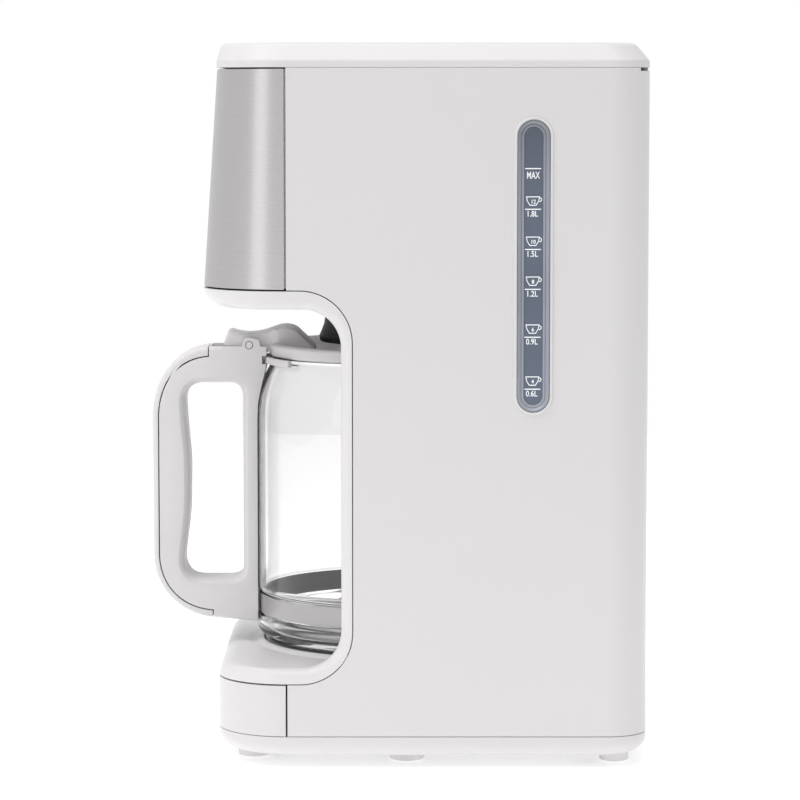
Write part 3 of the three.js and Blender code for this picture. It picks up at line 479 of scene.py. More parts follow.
class Finish:
    """A material with one surface shader, whose tone, gloss and relief can follow patterns"""

    def __init__(self, name, base, roughness, metallic=0.0, **sockets):
        self.material = bpy.data.materials.new(name)
        finishes[name] = self.material
        self.material.use_nodes = True
        self.nodes = self.material.node_tree.nodes
        self.links = self.material.node_tree.links
        self.shader = self.nodes["Principled BSDF"]
        self.base = base
        sockets.update(Base_Color=(*base, 1.0), Roughness=roughness, Metallic=metallic)
        for socket, value in sockets.items():
            self.shader.inputs[socket.replace("_", " ")].default_value = value
        self.coordinates = self.nodes.new("ShaderNodeTexCoord").outputs["Object"]

    def node(self, kind, socket, source, **inputs):
        """A new node fed by source, with its other inputs set"""
        node = self.nodes.new("ShaderNode" + kind)
        self.links.new(source, node.inputs[socket])
        for name, value in inputs.items():
            node.inputs[name.replace("_", " ")].default_value = value
        return node

    def patterns(self, stretch=(1.0, 1.0, 1.0), **patterns):
        """Noise for tone, gloss or relief, each as (cycles to the metre, detail, its two settings)"""
        place = self.node("Mapping", "Vector", self.coordinates, Scale=stretch).outputs["Vector"]
        for kind, (scale, detail, *settings) in patterns.items():
            noise = self.node("TexNoise", "Vector", place, Scale=scale, Detail=detail).outputs["Fac"]
            getattr(self, kind)(noise, *settings)

    def tone(self, source, darker, lighter):
        """Lets the colour drift between a darker and a lighter tone with a pattern"""
        node = self.node("ValToRGB", "Fac", source)
        for stop, position, factor in zip(node.color_ramp.elements, (0.3, 0.7), (darker, lighter)):
            stop.position = position
            stop.color = (*[min(1.0, c * factor) for c in self.base], 1.0)
        self.links.new(node.outputs["Color"], self.shader.inputs["Base Color"])

    def gloss(self, source, low, high):
        """Lets the roughness follow a pattern's middle range from low to high"""
        node = self.node("MapRange", "Value", source, From_Min=0.3, From_Max=0.7, To_Min=low, To_Max=high)
        self.links.new(node.outputs["Result"], self.shader.inputs["Roughness"])

    def relief(self, source, depth, strength):
        """Raises the surface by a pattern, depth in millimetres"""
        node = self.node("Bump", "Height", source, Distance=depth * MM, Strength=strength)
        self.links.new(node.outputs["Normal"], self.shader.inputs["Normal"])


def gloss_plastic(name, base, grain=0.008):
    """Moulded plastic: slow drift of tone, fine skin texture and faint uneven gloss"""
    Finish(name, base, 0.3, IOR=1.49).patterns(
        tone=(7.0, 2.0, 0.99, 1.005), gloss=(320.0, 3.0, 0.28, 0.33), relief=(2600.0, 2.0, grain, 0.4))


def satin_plastic(name, base, roughness=0.42, grain=0.02, specular=0.5):
    """Fine spark-eroded moulding texture"""
    Finish(name, base, roughness, IOR=1.48, Specular_IOR_Level=specular).patterns(
        tone=(22.0, 3.0, 0.975, 1.01), gloss=(180.0, 4.0, roughness - 0.05, roughness + 0.07),
        relief=(1900.0, 3.0, grain, 0.6))


def brushed_metal(name, base, roughness=0.27, metallic=1.0):
    """Metal brushed in one direction: the same hairlines in tone and height, others in gloss"""
    Finish(name, base, roughness, metallic).patterns(
        stretch=(5.0, 5.0, 2600.0), tone=(1.6, 5.0, 0.98, 1.012),
        gloss=(2.3, 4.0, roughness - 0.03, roughness + 0.05), relief=(1.6, 5.0, 0.003, 0.3))


def plain_metal(name, base, roughness):
    """Rolled or plated metal with stains and fine scratches"""
    Finish(name, base, roughness, 1.0).patterns(
        tone=(70.0, 5.0, 0.85, 1.05), gloss=(260.0, 5.0, roughness - 0.1, roughness + 0.15),
        relief=(900.0, 3.0, 0.02, 0.4))


def clear_glass(name):
    """Blown glass with a slight waviness and thin marks"""
    Finish(name, (0.935, 0.93, 0.93), 0.015, IOR=1.47, Transmission_Weight=1.0).patterns(
        gloss=(35.0, 3.0, 0.0, 0.03), relief=(16.0, 1.0, 0.25, 0.25))


def smoky_window(name, base, transmission=0.35):
    """Tinted clear plastic with a glossy face; its tone drifts darker and lighter in slow bands up the panel,
    painted shade and light of the inside seen through it
    """
    finish = Finish(name, base, 0.13, IOR=1.52, Transmission_Weight=transmission, Coat_Weight=0.3)
    # painted shade and light: the slow darker and lighter bands stand in for the inside seen through the
    # window
    finish.patterns(stretch=(1.0, 1.0, 2.6), tone=(5.0, 1.0, 0.82, 1.32))
    finish.patterns(gloss=(120.0, 3.0, 0.09, 0.18), relief=(30.0, 1.0, 0.05, 0.3))


def cloudy_plastic(name, base):
    """Translucent moulded plastic of the tank"""
    Finish(name, base, 0.32, IOR=1.45, Transmission_Weight=0.55).patterns(
        tone=(14.0, 2.0, 0.95, 1.02), gloss=(90.0, 3.0, 0.26, 0.42), relief=(800.0, 2.0, 0.02, 0.4))


def soft_rubber(name, base, roughness=0.72):
    """Rubber with dust in its fine grain"""
    Finish(name, base, roughness, IOR=1.46, Sheen_Weight=0.15).patterns(
        tone=(120.0, 4.0, 0.9, 1.04), gloss=(500.0, 3.0, roughness - 0.1, roughness + 0.1),
        relief=(1500.0, 3.0, 0.05, 0.6))


def nonstick_coating(name):
    """Sprayed black coating with a slight orange peel and bright specks"""
    Finish(name, (0.03, 0.029, 0.03), 0.38, 0.15, Coat_Weight=0.2).patterns(
        tone=(2400.0, 2.0, 0.8, 1.7), gloss=(40.0, 4.0, 0.32, 0.5), relief=(700.0, 2.0, 0.04, 0.5))


def woven_mesh(name, base):
    """Fine metal gauze: two crossing sets of wires, fine enough to read as one cloth"""
    finish = Finish(name, base, 0.4, 1.0)
    weave = finish.nodes.new("ShaderNodeMath")
    weave.operation = "MULTIPLY"
    for direction, factor in zip("ZX", weave.inputs):
        wires = finish.node("TexWave", "Vector", finish.coordinates, Scale=320.0, Distortion=0.4)
        wires.bands_direction = direction
        finish.links.new(wires.outputs["Fac"], factor)
    finish.tone(weave.outputs["Value"], 0.35, 1.1)
    finish.relief(weave.outputs["Value"], 0.15, 0.8)
    finish.patterns(gloss=(200.0, 3.0, 0.33, 0.5))


def circuit_board(name):
    """Solder mask with copper tracks showing through as slightly raised paths"""
    finish = Finish(name, (0.03, 0.17, 0.07), 0.35, IOR=1.5, Coat_Weight=0.3)
    cells = finish.node("TexVoronoi", "Vector", finish.coordinates, Scale=240.0)
    cells.distance = "MANHATTAN"
    finish.tone(cells.outputs["Distance"], 0.75, 1.5)
    finish.relief(cells.outputs["Distance"], 0.06, 0.5)
    finish.patterns(gloss=(150.0, 3.0, 0.3, 0.45))


def white_print(name):
    """Screen-printed ink with slightly uneven cover, and a faint painted glow that makes it brighter than the
    light gives
    """
    # painted glow: the ink shines a little of its own, though it is no lamp
    painted_glow = {"Emission_Color": (0.9, 0.93, 0.96, 1.0), "Emission_Strength": 0.12}
    Finish(name, (0.9, 0.92, 0.94), 0.5, **painted_glow).patterns(
        tone=(1500.0, 3.0, 0.9, 1.05), relief=(2500.0, 2.0, 0.01, 0.5))


def make_finishes(colours):
    """Every finish of the machine, most of them named for the record's material slot"""
    gloss_plastic("body_white", colours.body)
    gloss_plastic("liner_white", colours.liner, 0.02)
    brushed_metal("brushed_panel", colours.steel)
    brushed_metal("brushed_band", tuple(0.78 * c for c in colours.steel), 0.36, 0.7)
    cloudy_plastic("tank_clear", (0.84, 0.86, 0.88))
    smoky_window("window_rim", (0.36, 0.385, 0.44), 0.2)
    smoky_window("window_smoke", colours.smoke)
    soft_rubber("silicone_hose", (0.82, 0.8, 0.76), 0.5)
    nonstick_coating("plate_coating")
    plain_metal("heater_aluminium", (0.6, 0.6, 0.61), 0.4)
    plain_metal("zinc_steel", (0.58, 0.58, 0.58), 0.3)
    circuit_board("board_green")
    satin_plastic("lcd_dark", (0.36, 0.4, 0.37), 0.3, 0.005)
    satin_plastic("button_grey", (0.6, 0.6, 0.61), 0.4)
    satin_plastic("basket_black", colours.black, 0.5, 0.02, 0.22)
    woven_mesh("filter_mesh", (0.6, 0.47, 0.22))
    clear_glass("carafe_glass")
    satin_plastic("handle_white", colours.handle)
    # the feet's white is lifted to 0.9: painted light that offsets the shade under the base
    soft_rubber("foot_rubber", (0.9, 0.885, 0.885))
    white_print("print_white")
    satin_plastic("lcd_digits", (0.02, 0.022, 0.024), 0.3, 0.004)


# ------------------------------------------------------------------ shapes shared by the pieces

def hinge_rod(name, radius, x0, x1, vertices=48):
    """A rod along the top lid's hinge"""
    return rod(name, radius, (x0, HINGE_Y, HINGE_Z), (x1, HINGE_Y, HINGE_Z), vertices)


def bay_outline(bay, grow=0.0, beyond=-140.0):
    """Side view of the bay: open to the front, rounded where it turns up and down"""
    y, low, high, r = bay["depth"] + grow, bay["low"] - grow, bay["high"] + grow, bay["radius"] + grow
    return fillet([(beyond, low, 0), (y, low, r), (y, high, r), (beyond, high, 0)], steps=20)


def front_plan(front, radius):
    """The wrapped front seen from above, from the left seam round to the right"""
    start = SEAM - GAP
    corners = [(-HALF, front, radius), (HALF, front, radius), (HALF, start + 60, 0), (-HALF, start + 60, 0)]
    arcs = [p for p in fillet(corners, 18) if p.y < start - EPS]
    return [Vector((-HALF, start)), *arcs, Vector((HALF, start))]


def window_outline(inset, steps=24):
    """The level window's tall slot with round ends, drawn in by inset"""
    r = (WINDOW_HIGH.y - WINDOW_LOW.y) / 2 - inset
    y = (WINDOW_HIGH.y + WINDOW_LOW.y) / 2
    points = []
    for centre, first in ((WINDOW_HIGH.z - inset - r, 0.0), (WINDOW_LOW.z + inset + r, math.pi)):
        for step in range(steps + 1):
            angle = first + math.pi * step / steps
            points.append(Vector((y + r * math.cos(angle), centre + r * math.sin(angle))))
    return points


# ------------------------------------------------------------------ operators

class MAKER_OT_housing(bpy.types.Operator):
    """Add the housing: sides and rear in one shell, with the bay, window slot and hinge knuckles"""
    bl_idname = "maker.housing"
    bl_label = "Housing"

    def execute(self, context):
        low, high, beyond = HOUSING_LOW.z, LID_BOTTOM - 0.15, 9
        piece = rounded_block("housing_shell", (-HALF, SEAM + 2 * GAP, low), (HALF, REAR, high), 0,
                              SHELL.rear_corner)
        delete_faces(piece, lambda f: abs(f.normal.z) > 0.9 or f.normal.y < -0.9)
        thicken(piece, SHELL.wall)
        lip = across("window_lip", window_outline(-GAP - SHELL.window_lip, 16), HALF - 1.2, HALF + 0.75)
        unite(piece, round_edges(lip, 0.7, 5, 60))
        for x in (-HALF + 2.1, HALF - 2.85):
            unite(piece, block("tongue", (x, SEAM - 3, 240.6), (x + 0.75, SEAM + 4, high - 0.7)))
        carve(piece, across("bay_cutter", bay_outline(TRIM_OUTER), -HALF - beyond, HALF + beyond),
              across("window_slot", window_outline(-GAP, 16), HALF - beyond, HALF + beyond),
              block("notch_cutter", (-120, HINGE_Y - 2.9, 347.6), (120, REAR + beyond, high + beyond)),
              rod("gland_cutter", 7.4, (-55, REAR - 10, 30), (-55, REAR + 10, 30)))
        clean(piece)
        round_edges(piece, SHELL.edge, 2)
        for side in (-1, 1):
            self.knuckle(piece, *sorted((side * 60, side * 72)))
        deliver(piece, "body_white", "machine", "main_housing")
        return {"FINISHED"}

    def knuckle(self, piece, x0, x1):
        knuckle = hinge_rod("knuckle", KNUCKLE, x0, x1)
        unite(knuckle, block("post", (x0, HINGE_Y - KNUCKLE, HINGE_Z - 8), (x1, HINGE_Y + KNUCKLE, HINGE_Z)))
        carve(knuckle, hinge_rod("bore", HINGE_PIN, x0 - 1, x1 + 1))
        unite(piece, knuckle)


class MAKER_OT_front(bpy.types.Operator):
    """Add the brushed metal head panel and the base's front cover"""
    bl_idname = "maker.front"
    bl_label = "Front Panels"

    def execute(self, context):
        self.head_panel()
        self.base_cover()
        return {"FINISHED"}

    def head_panel(self):
        low, high = box_mm("head_front_panel")
        bottom = front_plan(CHIN_FRONT, SHELL.head_corner)
        slant = (SEAM - HEAD_FRONT) / (SEAM - CHIN_FRONT)
        top = [Vector((p.x, SEAM + (p.y - SEAM) * slant)) for p in bottom]
        piece = wrapped("head_panel", low.z, bottom, high.z, top, 1.5)
        round_edges(piece, 0.35, 2)
        deliver(piece, "brushed_panel", "machine", "head_front_panel")

    def base_cover(self):
        outline = front_plan(BASE_FRONT, SEAM - BASE_FRONT)
        piece = wrapped("base_cover", COVER_LOW.z, outline, COVER_HIGH.z, outline, SHELL.wall)
        before, behind = BASE_FRONT - 5, BASE_FRONT + 8
        low, high = box_mm("display_lens")
        cutters = [block("display_cutter", (low.x - GAP, before, low.z - GAP),
                         (high.x + GAP, behind, high.z + GAP))]
        for name in BUTTONS:
            low, high = box_mm(name)
            x, z = (low.x + high.x) / 2, (low.z + high.z) / 2
            cutters.append(rod("button_cutter", 4.7, (x, before, z), (x, behind, z)))
        carve(piece, *cutters)
        clean(piece)
        round_edges(piece, 0.4, 2)
        deliver(piece, "body_white", "machine", "base_front_cover")


class MAKER_OT_bay(bpy.types.Operator):
    """Add the bay moulding: chin, trim, base top and the curved wall behind the carafe"""
    bl_idname = "maker.bay"
    bl_label = "Bay Moulding"

    def execute(self, context):
        floor, ceiling = TRIM_INNER["low"], TRIM_INNER["high"]
        under, over = 48.0, 232.4
        piece = self.bracket()
        unite(piece, self.space(2.5, under, over, -22.8))
        for low, high in ((under, floor - 0.01), (ceiling + 0.01, over)):
            unite(piece, block("sill", (-BAY_MOUTH, -48, low), (BAY_MOUTH, -20, high)))
        carve(piece, self.space(0.0, floor - 0.03, ceiling + 0.03, -62))
        unite(piece, turned("collar", [(0, 48.5), (73.8, 48.5), (73.8, 52), (0, 52)]))
        carve(piece,
              rounded_block("chin_hollow", (-HALF + 2.4, -88, over), (HALF - 2.4, -44, 245), 34, 0),
              rounded_block("base_hollow", (-HALF + 4, BASE_FRONT + 5, 40), (HALF - 4, -44, 47.9), 31, 0),
              rod("basket_hole", 43, (0, 0, 225), (0, 0, 245), 96),
              rod("basket_well", 61.2, (0, 0, 233.4), (0, 0, 250), 96),
              rod("plate_hole", 69.3, (0, 0, 38), (0, 0, 55), 128),
              self.dish())
        clean(piece, 0.2)
        deliver(piece, "liner_white", "machine", "bay_liner", smooth=40)
        return {"FINISHED"}

    def bracket(self):
        """The C-shaped trim, its inner edges rounded, held inside the rounded plan of chin and base"""
        outer = bay_outline(TRIM_OUTER, -0.5, beyond=-120)
        inner = bay_outline(TRIM_INNER, 0, beyond=-120)
        piece = across("bay_moulding", [*outer, *reversed(inner)], -HALF, HALF)
        rim = {(round(p.x, 2), round(p.y, 2)) for p in inner}

        def on_rim(a, b):
            at_side = abs(a.x) > HALF - EPS and abs(a.x - b.x) < EPS
            return at_side and all((round(v.y, 2), round(v.z, 2)) in rim for v in (a, b))
        bevel_where(piece, on_rim, SHELL.trim_edge, 5)
        return carve(piece, self.envelope(), operation="INTERSECT")

    def envelope(self):
        """A solid with the rounded front of the base top below and of the chin above"""
        low, high, rear, edge = TRIM_OUTER["low"], TRIM_OUTER["high"] - GAP, 20, 8.0
        piece = rounded_block("envelope", (-HALF, BASE_FRONT, low - 4), (HALF, rear, low), BASE_CORNER, 0, 18)
        fronts = [(low + edge * rise, BASE_FRONT + edge * back) for rise, back in quarter(6)]
        fronts += [(60.0, BASE_FRONT + edge), (229.9, -84.9), (230.3, -87.6), (231.0, -89.1), (232.0, -90.9),
                   (233.3, -92.6), (234.8, -94.0), (236.4, -95.2), (237.8, -95.9), (high, CHIN_FRONT),
                   (high + 4, CHIN_FRONT)]
        return stack(piece, low, [(z, HALF, y, rear) for z, y in fronts])

    def space(self, grow, low, high, front):
        """The space of the bay behind front, or its wall when grown"""
        r, mouth, y, reach = SHELL.bay + grow, BAY_MOUTH + grow, TRIM_INNER["depth"] - 0.7, -60
        piece = rod("bay_space", r, (0, 0, low), (0, 0, high), 128)
        plan = [(r, 0), (mouth, y), (mouth, reach), (-mouth, reach), (-mouth, y), (-r, 0)]
        unite(piece, slab("bay_mouth", plan_view(low, plan), (0, 0, high - low)))
        clip = block("bay_clip", (-120, front, low - 1), (120, 120, high + 1))
        return carve(piece, clip, operation="INTERSECT")

    def dish(self):
        """The shallow dish round the warming plate, with a soft raised collar at its middle"""
        profile = [(0, 52.4), (69.9, 51.6), (70.6, 51.55), (71.6, 51.1), (72.6, 50.4), (73.6, 50.0),
                   (75, 49.9), (76.5, 50.05), (78.6, 50.45), (78.6, 60), (0, 60)]
        return turned("dish", profile, 128)


class MAKER_OT_tray(bpy.types.Operator):
    """Add the base tray with its rounded lower edge, vents and screw holes, and the feet"""
    bl_idname = "maker.tray"
    bl_label = "Tray and Feet"

    def execute(self, context):
        low, high = box_mm("base_tray")
        edge = 9.0
        shoulder = low.z + edge
        piece = rounded_block("tray", (-HALF, BASE_FRONT, shoulder), (HALF, REAR, high.z), BASE_CORNER,
                              SHELL.rear_corner)
        stack(piece, shoulder, [
            (low.z + edge * (1 - rise), HALF - edge * back, BASE_FRONT + edge * back, REAR - edge * back)
            for rise, back in quarter(9)])
        delete_faces(piece, lambda f: f.normal.z > 0.9)
        thicken(piece, SHELL.wall)
        holes = [rod("screw_hole", 3.7, (x, y, 0), (x, y, 12)) for x, y in SCREWS]
        vents = [rounded_block("vent", (x - 1.5, -20, 0), (x + 1.5, 20, 9), 1.4, 1.4, 5)
                 for x in range(-24, 25, 12)]
        carve(piece, *holes, *vents)
        clean(piece)
        round_edges(piece, 0.3, 2)
        deliver(piece, "body_white", "machine", "base_tray")
        for node in FEET:
            self.foot(node)
        for i, (x, y) in enumerate(SCREWS):
            self.screw(f"base_screw_{i + 1}", x, y)
        return {"FINISHED"}

    def foot(self, node):
        low, high = box_mm(node)
        r, top = (high.x - low.x) / 2, high.z
        profile = [(0, 0.5), (r - 3.2, 0.5), (r - 2.6, 0), (r - 0.9, 0), (r - 0.3, 0.25), (r, 0.9),
                   (r, top - 0.3), (r - 0.3, top), (0, top)]
        piece = turned(node + "_pad", profile, 48, centre=((low.x + high.x) / 2, (low.y + high.y) / 2))
        deliver(piece, "foot_rubber", "machine", node, smooth=50)

    def screw(self, node, x, y):
        profile = [(0, 6.6), (1.0, 6.6), (1.2, 6.0), (2.9, 6.1), (3.2, 6.5), (3.2, 7.9), (1.6, 8.4),
                   (1.6, 22), (0, 22)]
        piece = turned(node + "_head", profile, 32, centre=(x, y))
        for dx, dy in ((1.9, 0.35), (0.35, 1.9)):
            carve(piece, block("cross", (x - dx, y - dy, 5), (x + dx, y + dy, 7.6)))
        deliver(piece, "zinc_steel", "machine", node)


class MAKER_OT_lid(bpy.types.Operator):
    """Add the top lid with its soft edges and hinge barrels, and the shower head under it"""
    bl_idname = "maker.lid"
    bl_label = "Top Lid"

    def execute(self, context):
        piece = self.solid("lid_shell", 0, LID_BOTTOM)
        carve(piece, self.solid("lid_hollow", SHELL.wall, LID_BOTTOM - 1), self.rear_corner())
        for side in (-1, 1):
            self.barrels(piece, side)
        clean(piece)
        round_edges(piece, 0.35, 2, 50)
        deliver(piece, "body_white", "lid", "top_lid", smooth=40)
        deliver(finer("shower_head", "shower_plate", 0.5, 3), "liner_white", "lid", "shower_head")
        refine("machine", "_turned", 32, ("lid_hinge_pin_left", "zinc_steel", 0.15),
               ("lid_hinge_pin_right", "zinc_steel", 0.15))
        return {"FINISHED"}

    def solid(self, name, wall, low):
        """The lid's outside, or its hollow when a wall is taken off: upright edge, sloped sides, flat top"""
        half, front, rear, shoulder = HALF - wall, HEAD_FRONT + wall, REAR - wall, 351.8
        piece = rounded_block(name, (-half, front, low), (half, rear, shoulder), 35.1 - wall,
                              SHELL.rear_corner - wall, 18)
        rise = LID_HIGH.z - wall - shoulder
        slope = [(0.055, 0.06, 0.03), (0.11, 0.24, 0.12), (0.16, 0.55, 0.26), (0.79, 5.5, 1.9),
                 (0.87, 6.2, 2.3), (0.925, 7.0, 2.9), (0.97, 8.0, 3.8), (1.0, 9.6, 5.6)]
        return stack(piece, shoulder, [
            (shoulder + up * rise, half - aside, front + ahead, rear - aside) for up, aside, ahead in slope])

    def rear_corner(self):
        """What the lid's lower rear corner loses so that it can swing about the pins"""
        corner = block("corner", (-120, HINGE_Y, 344), (120, REAR + 5, HINGE_Z))
        return carve(corner, hinge_rod("corner_kept", REAR - HINGE_Y, -121, 121, 64))

    def barrels(self, piece, side):
        """Two barrels for a pin, with the housing's knuckle between them"""
        inner, outer = 59.4, 72.6
        for ends in ((53, inner), (outer, 78)):
            x0, x1 = sorted(side * end for end in ends)
            unite(piece, hinge_rod("barrel", KNUCKLE, x0, x1))
        x0, x1 = sorted((side * inner, side * outer))
        carve(piece, block("knuckle_room", (x0, HINGE_Y - 4, 344), (x1, REAR + 5, HINGE_Z + 2.8)))
        x0, x1 = sorted((side * 50, side * 79))
        carve(piece, hinge_rod("barrel_bore", HINGE_PIN, x0, x1, 24))


class MAKER_OT_window(bpy.types.Operator):
    """Add the level window: tinted rim, inset panel with its raised line, and the printed scale"""
    bl_idname = "maker.window"
    bl_label = "Level Window"

    INK = 0.12

    def execute(self, context):
        self.rim()
        self.lens()
        self.scale()
        return {"FINISHED"}

    def rim(self):
        """The tinted frame, flared towards its outer edge, with a rounded bead inside"""
        piece = across("window_frame", window_outline(0), HALF - 2.4, HALF - 0.1)
        inner, outer = window_outline(2.1), window_outline(0.3)
        flare = ribbon("flare", side_view(HALF - 1.35, [*inner, inner[0]]),
                       side_view(HALF + 0.3, [*outer, outer[0]]))
        with Editing(flare) as edit:
            edit.tidy()
            edit.pick("EDGE", lambda e: e.is_boundary)
            bpy.ops.mesh.fill_holes(sides=0)
            edit.tidy()
        carve(piece, across("frame_hole", inner, HALF - 4, HALF - 1.2), flare)
        bead = carve(across("bead", window_outline(2.0), HALF - 2.4, HALF - 0.85),
                     across("bead_hole", window_outline(3.2), HALF - 4, HALF))
        join(piece, round_edges(bead, 0.4, 4, 50))
        deliver(piece, "window_rim", "machine", "window_bezel")

    def lens(self):
        piece = across("window_panel", window_outline(3.1), HALF - 2.4, HALF - 1.25)
        with Editing(piece) as edit:
            edit.pick("FACE", lambda f: f.normal.x > 0.9)
            bpy.ops.mesh.inset(thickness=0.3 * MM, depth=-0.25 * MM)
        deliver(piece, "window_smoke", "machine", "level_window", smooth=20)

    def scale(self):
        """Level lines, cup outlines and generic numbers, as thin raised ink"""
        x, y = HALF - 1.52, (WINDOW_LOW.y + WINDOW_HIGH.y) / 2 - 0.3
        parts = [self.words("MAX", (4.84, 0.62), x, y, 294.8), self.line(x, y, 299.7)]
        for z, cups, litres in ((279.7, "12", "1.8L"), (259.9, "10", "1.5L"), (240.2, "8", "1.2L"),
                                (216.5, "6", "0.9L"), (190.7, "4", "0.6L")):
            parts += [self.line(x, y, z), self.cup(x, y, z + 1.75),
                      self.words(cups, (2.75, 0.95), x, y + 0.1, z + 2.85),
                      self.words(litres, (4.0, 0.85), x, y - 0.4, z - 3.55)]
        piece = join(*parts)
        piece.name = "level_scale"
        deliver(piece, "window_rim", "machine", finish="print_white")

    def line(self, x, y, z):
        return block("line", (x, y - 3.95, z - 0.27), (x + self.INK, y + 3.95, z + 0.27))

    def cup(self, x, y, z):
        """A cup's outline with its handle"""
        bowl = [(-3.5, 4.6), (3.4, 4.6), (3.0, 2.4), (1.6, 0), (-1.7, 0), (-3.1, 2.4)]
        outline = [(y + a, z + b) for a, b in bowl]
        inner = [(y - 0.05 + (a + 0.05) * 0.86, z + 2.3 + (b - 2.3) * 0.8) for a, b in bowl]
        piece = carve(across("cup", outline, x, x + self.INK), across("cup_hole", inner, x - 1, x + 1))
        ear_y, ear_z = y + 3.3, z + 3.0
        ear = rod("ear", 1.15, (x, ear_y, ear_z), (x + self.INK, ear_y, ear_z), 24)
        carve(ear, rod("ear_hole", 0.72, (x - 1, ear_y, ear_z), (x + 1, ear_y, ear_z), 24),
              block("ear_cut", (x - 1, y, z), (x + 1, y + 3.05, z + 5)))
        return join(piece, ear)

    def words(self, text, shape, x, y, z):
        """Upright text of (size, width ratio) centred on y that faces outwards, standing on z"""
        size, ratio = shape
        letters = add(bpy.ops.object.text_add, location=Vector((x, y, z)) * MM,
                      rotation=(math.pi / 2, 0, math.pi / 2)).data
        letters.body = text
        letters.align_x = "CENTER"
        letters.size = size * MM
        letters.extrude = self.INK / 2 * MM
        letters.offset = 0.05 * MM
        letters.resolution_u = 3
        bpy.ops.object.convert(target="MESH")
        piece = bpy.context.object
        piece.scale.x = ratio
        return settle(piece, "words")


class MAKER_OT_controls(bpy.types.Operator):
    """Add the display and the four push buttons of the base's front"""
    bl_idname = "maker.controls"
    bl_label = "Controls"

    def execute(self, context):
        self.lens()
        self.display()
        for name in BUTTONS:
            self.button(name)
        return {"FINISHED"}

    def lens(self):
        piece = block("display_cover", *box_mm("display_lens"))
        bevel_where(piece, lambda a, b: abs(a.y - b.y) > 1, 2.2, 6)
        round_edges(piece, 0.3, 2)
        deliver(piece, "window_smoke", "machine", "display_lens")

    def display(self):
        low, high = box_mm("lcd_display")
        deliver(round_edges(block("display_panel", low, high), 0.3, 2), "lcd_dark", "machine", "lcd_display")
        front, middle = low.y - 0.12, (low.z + high.z) / 2
        parts = []
        for x, digit in zip((-13.5, -5.5, 5.5, 13.5), "1200"):
            parts += self.digit(x, middle, front, digit)
        for z in (middle - 2, middle + 2):
            parts.append(block("dot", (-0.5, front, z - 0.5), (0.5, front + 0.1, z + 0.5)))
        digits = join(*parts)
        digits.name = "display_digits"
        deliver(digits, "lcd_dark", "machine", finish="lcd_digits")

    def digit(self, x, z, y, digit):
        """A seven-segment digit, its bars given by their place across and up"""
        wide, tall, ink, gap = 2.2, 4.0, 0.45, 0.4
        level, upright = (wide - gap, ink), (ink, tall / 2 - gap)
        bars = {
            "a": (0, 1, level), "g": (0, 0, level), "d": (0, -1, level),
            "b": (1, 0.5, upright), "c": (1, -0.5, upright),
            "f": (-1, 0.5, upright), "e": (-1, -0.5, upright),
        }
        parts = []
        for name in {"0": "abcdef", "1": "bc", "2": "abged"}[digit]:
            right, up, (dx, dz) = bars[name]
            cx, cz = x + right * wide, z + up * tall
            parts.append(block("bar", (cx - dx, y, cz - dz), (cx + dx, y + 0.1, cz + dz)))
        return parts

    def button(self, name):
        low, high = box_mm(name)
        x, z, r = (low.x + high.x) / 2, (low.z + high.z) / 2, (high.x - low.x) / 2
        piece = rod(name + "_cap", r, (x, low.y, z), (x, low.y + 3.9, z), 64)
        with Editing(piece) as edit:
            edit.pick("FACE", lambda f: f.normal.y < -0.9)
            bpy.ops.mesh.inset(thickness=0.5 * MM, depth=0.0)
            bpy.ops.mesh.inset(thickness=0.9 * MM, depth=-0.35 * MM)

        def on_edge(v):
            return abs(v.y - low.y) < 0.01 and (v.x - x) ** 2 + (v.z - z) ** 2 > (r - 0.1) ** 2
        bevel_where(piece, lambda a, b: on_edge(a) and on_edge(b), 0.45, 3)
        join(piece, rod("stem", 1.6, (x, high.y - 2, z), (x, high.y, z), 24))
        deliver(piece, "button_grey", name.replace("button", "key"), name)


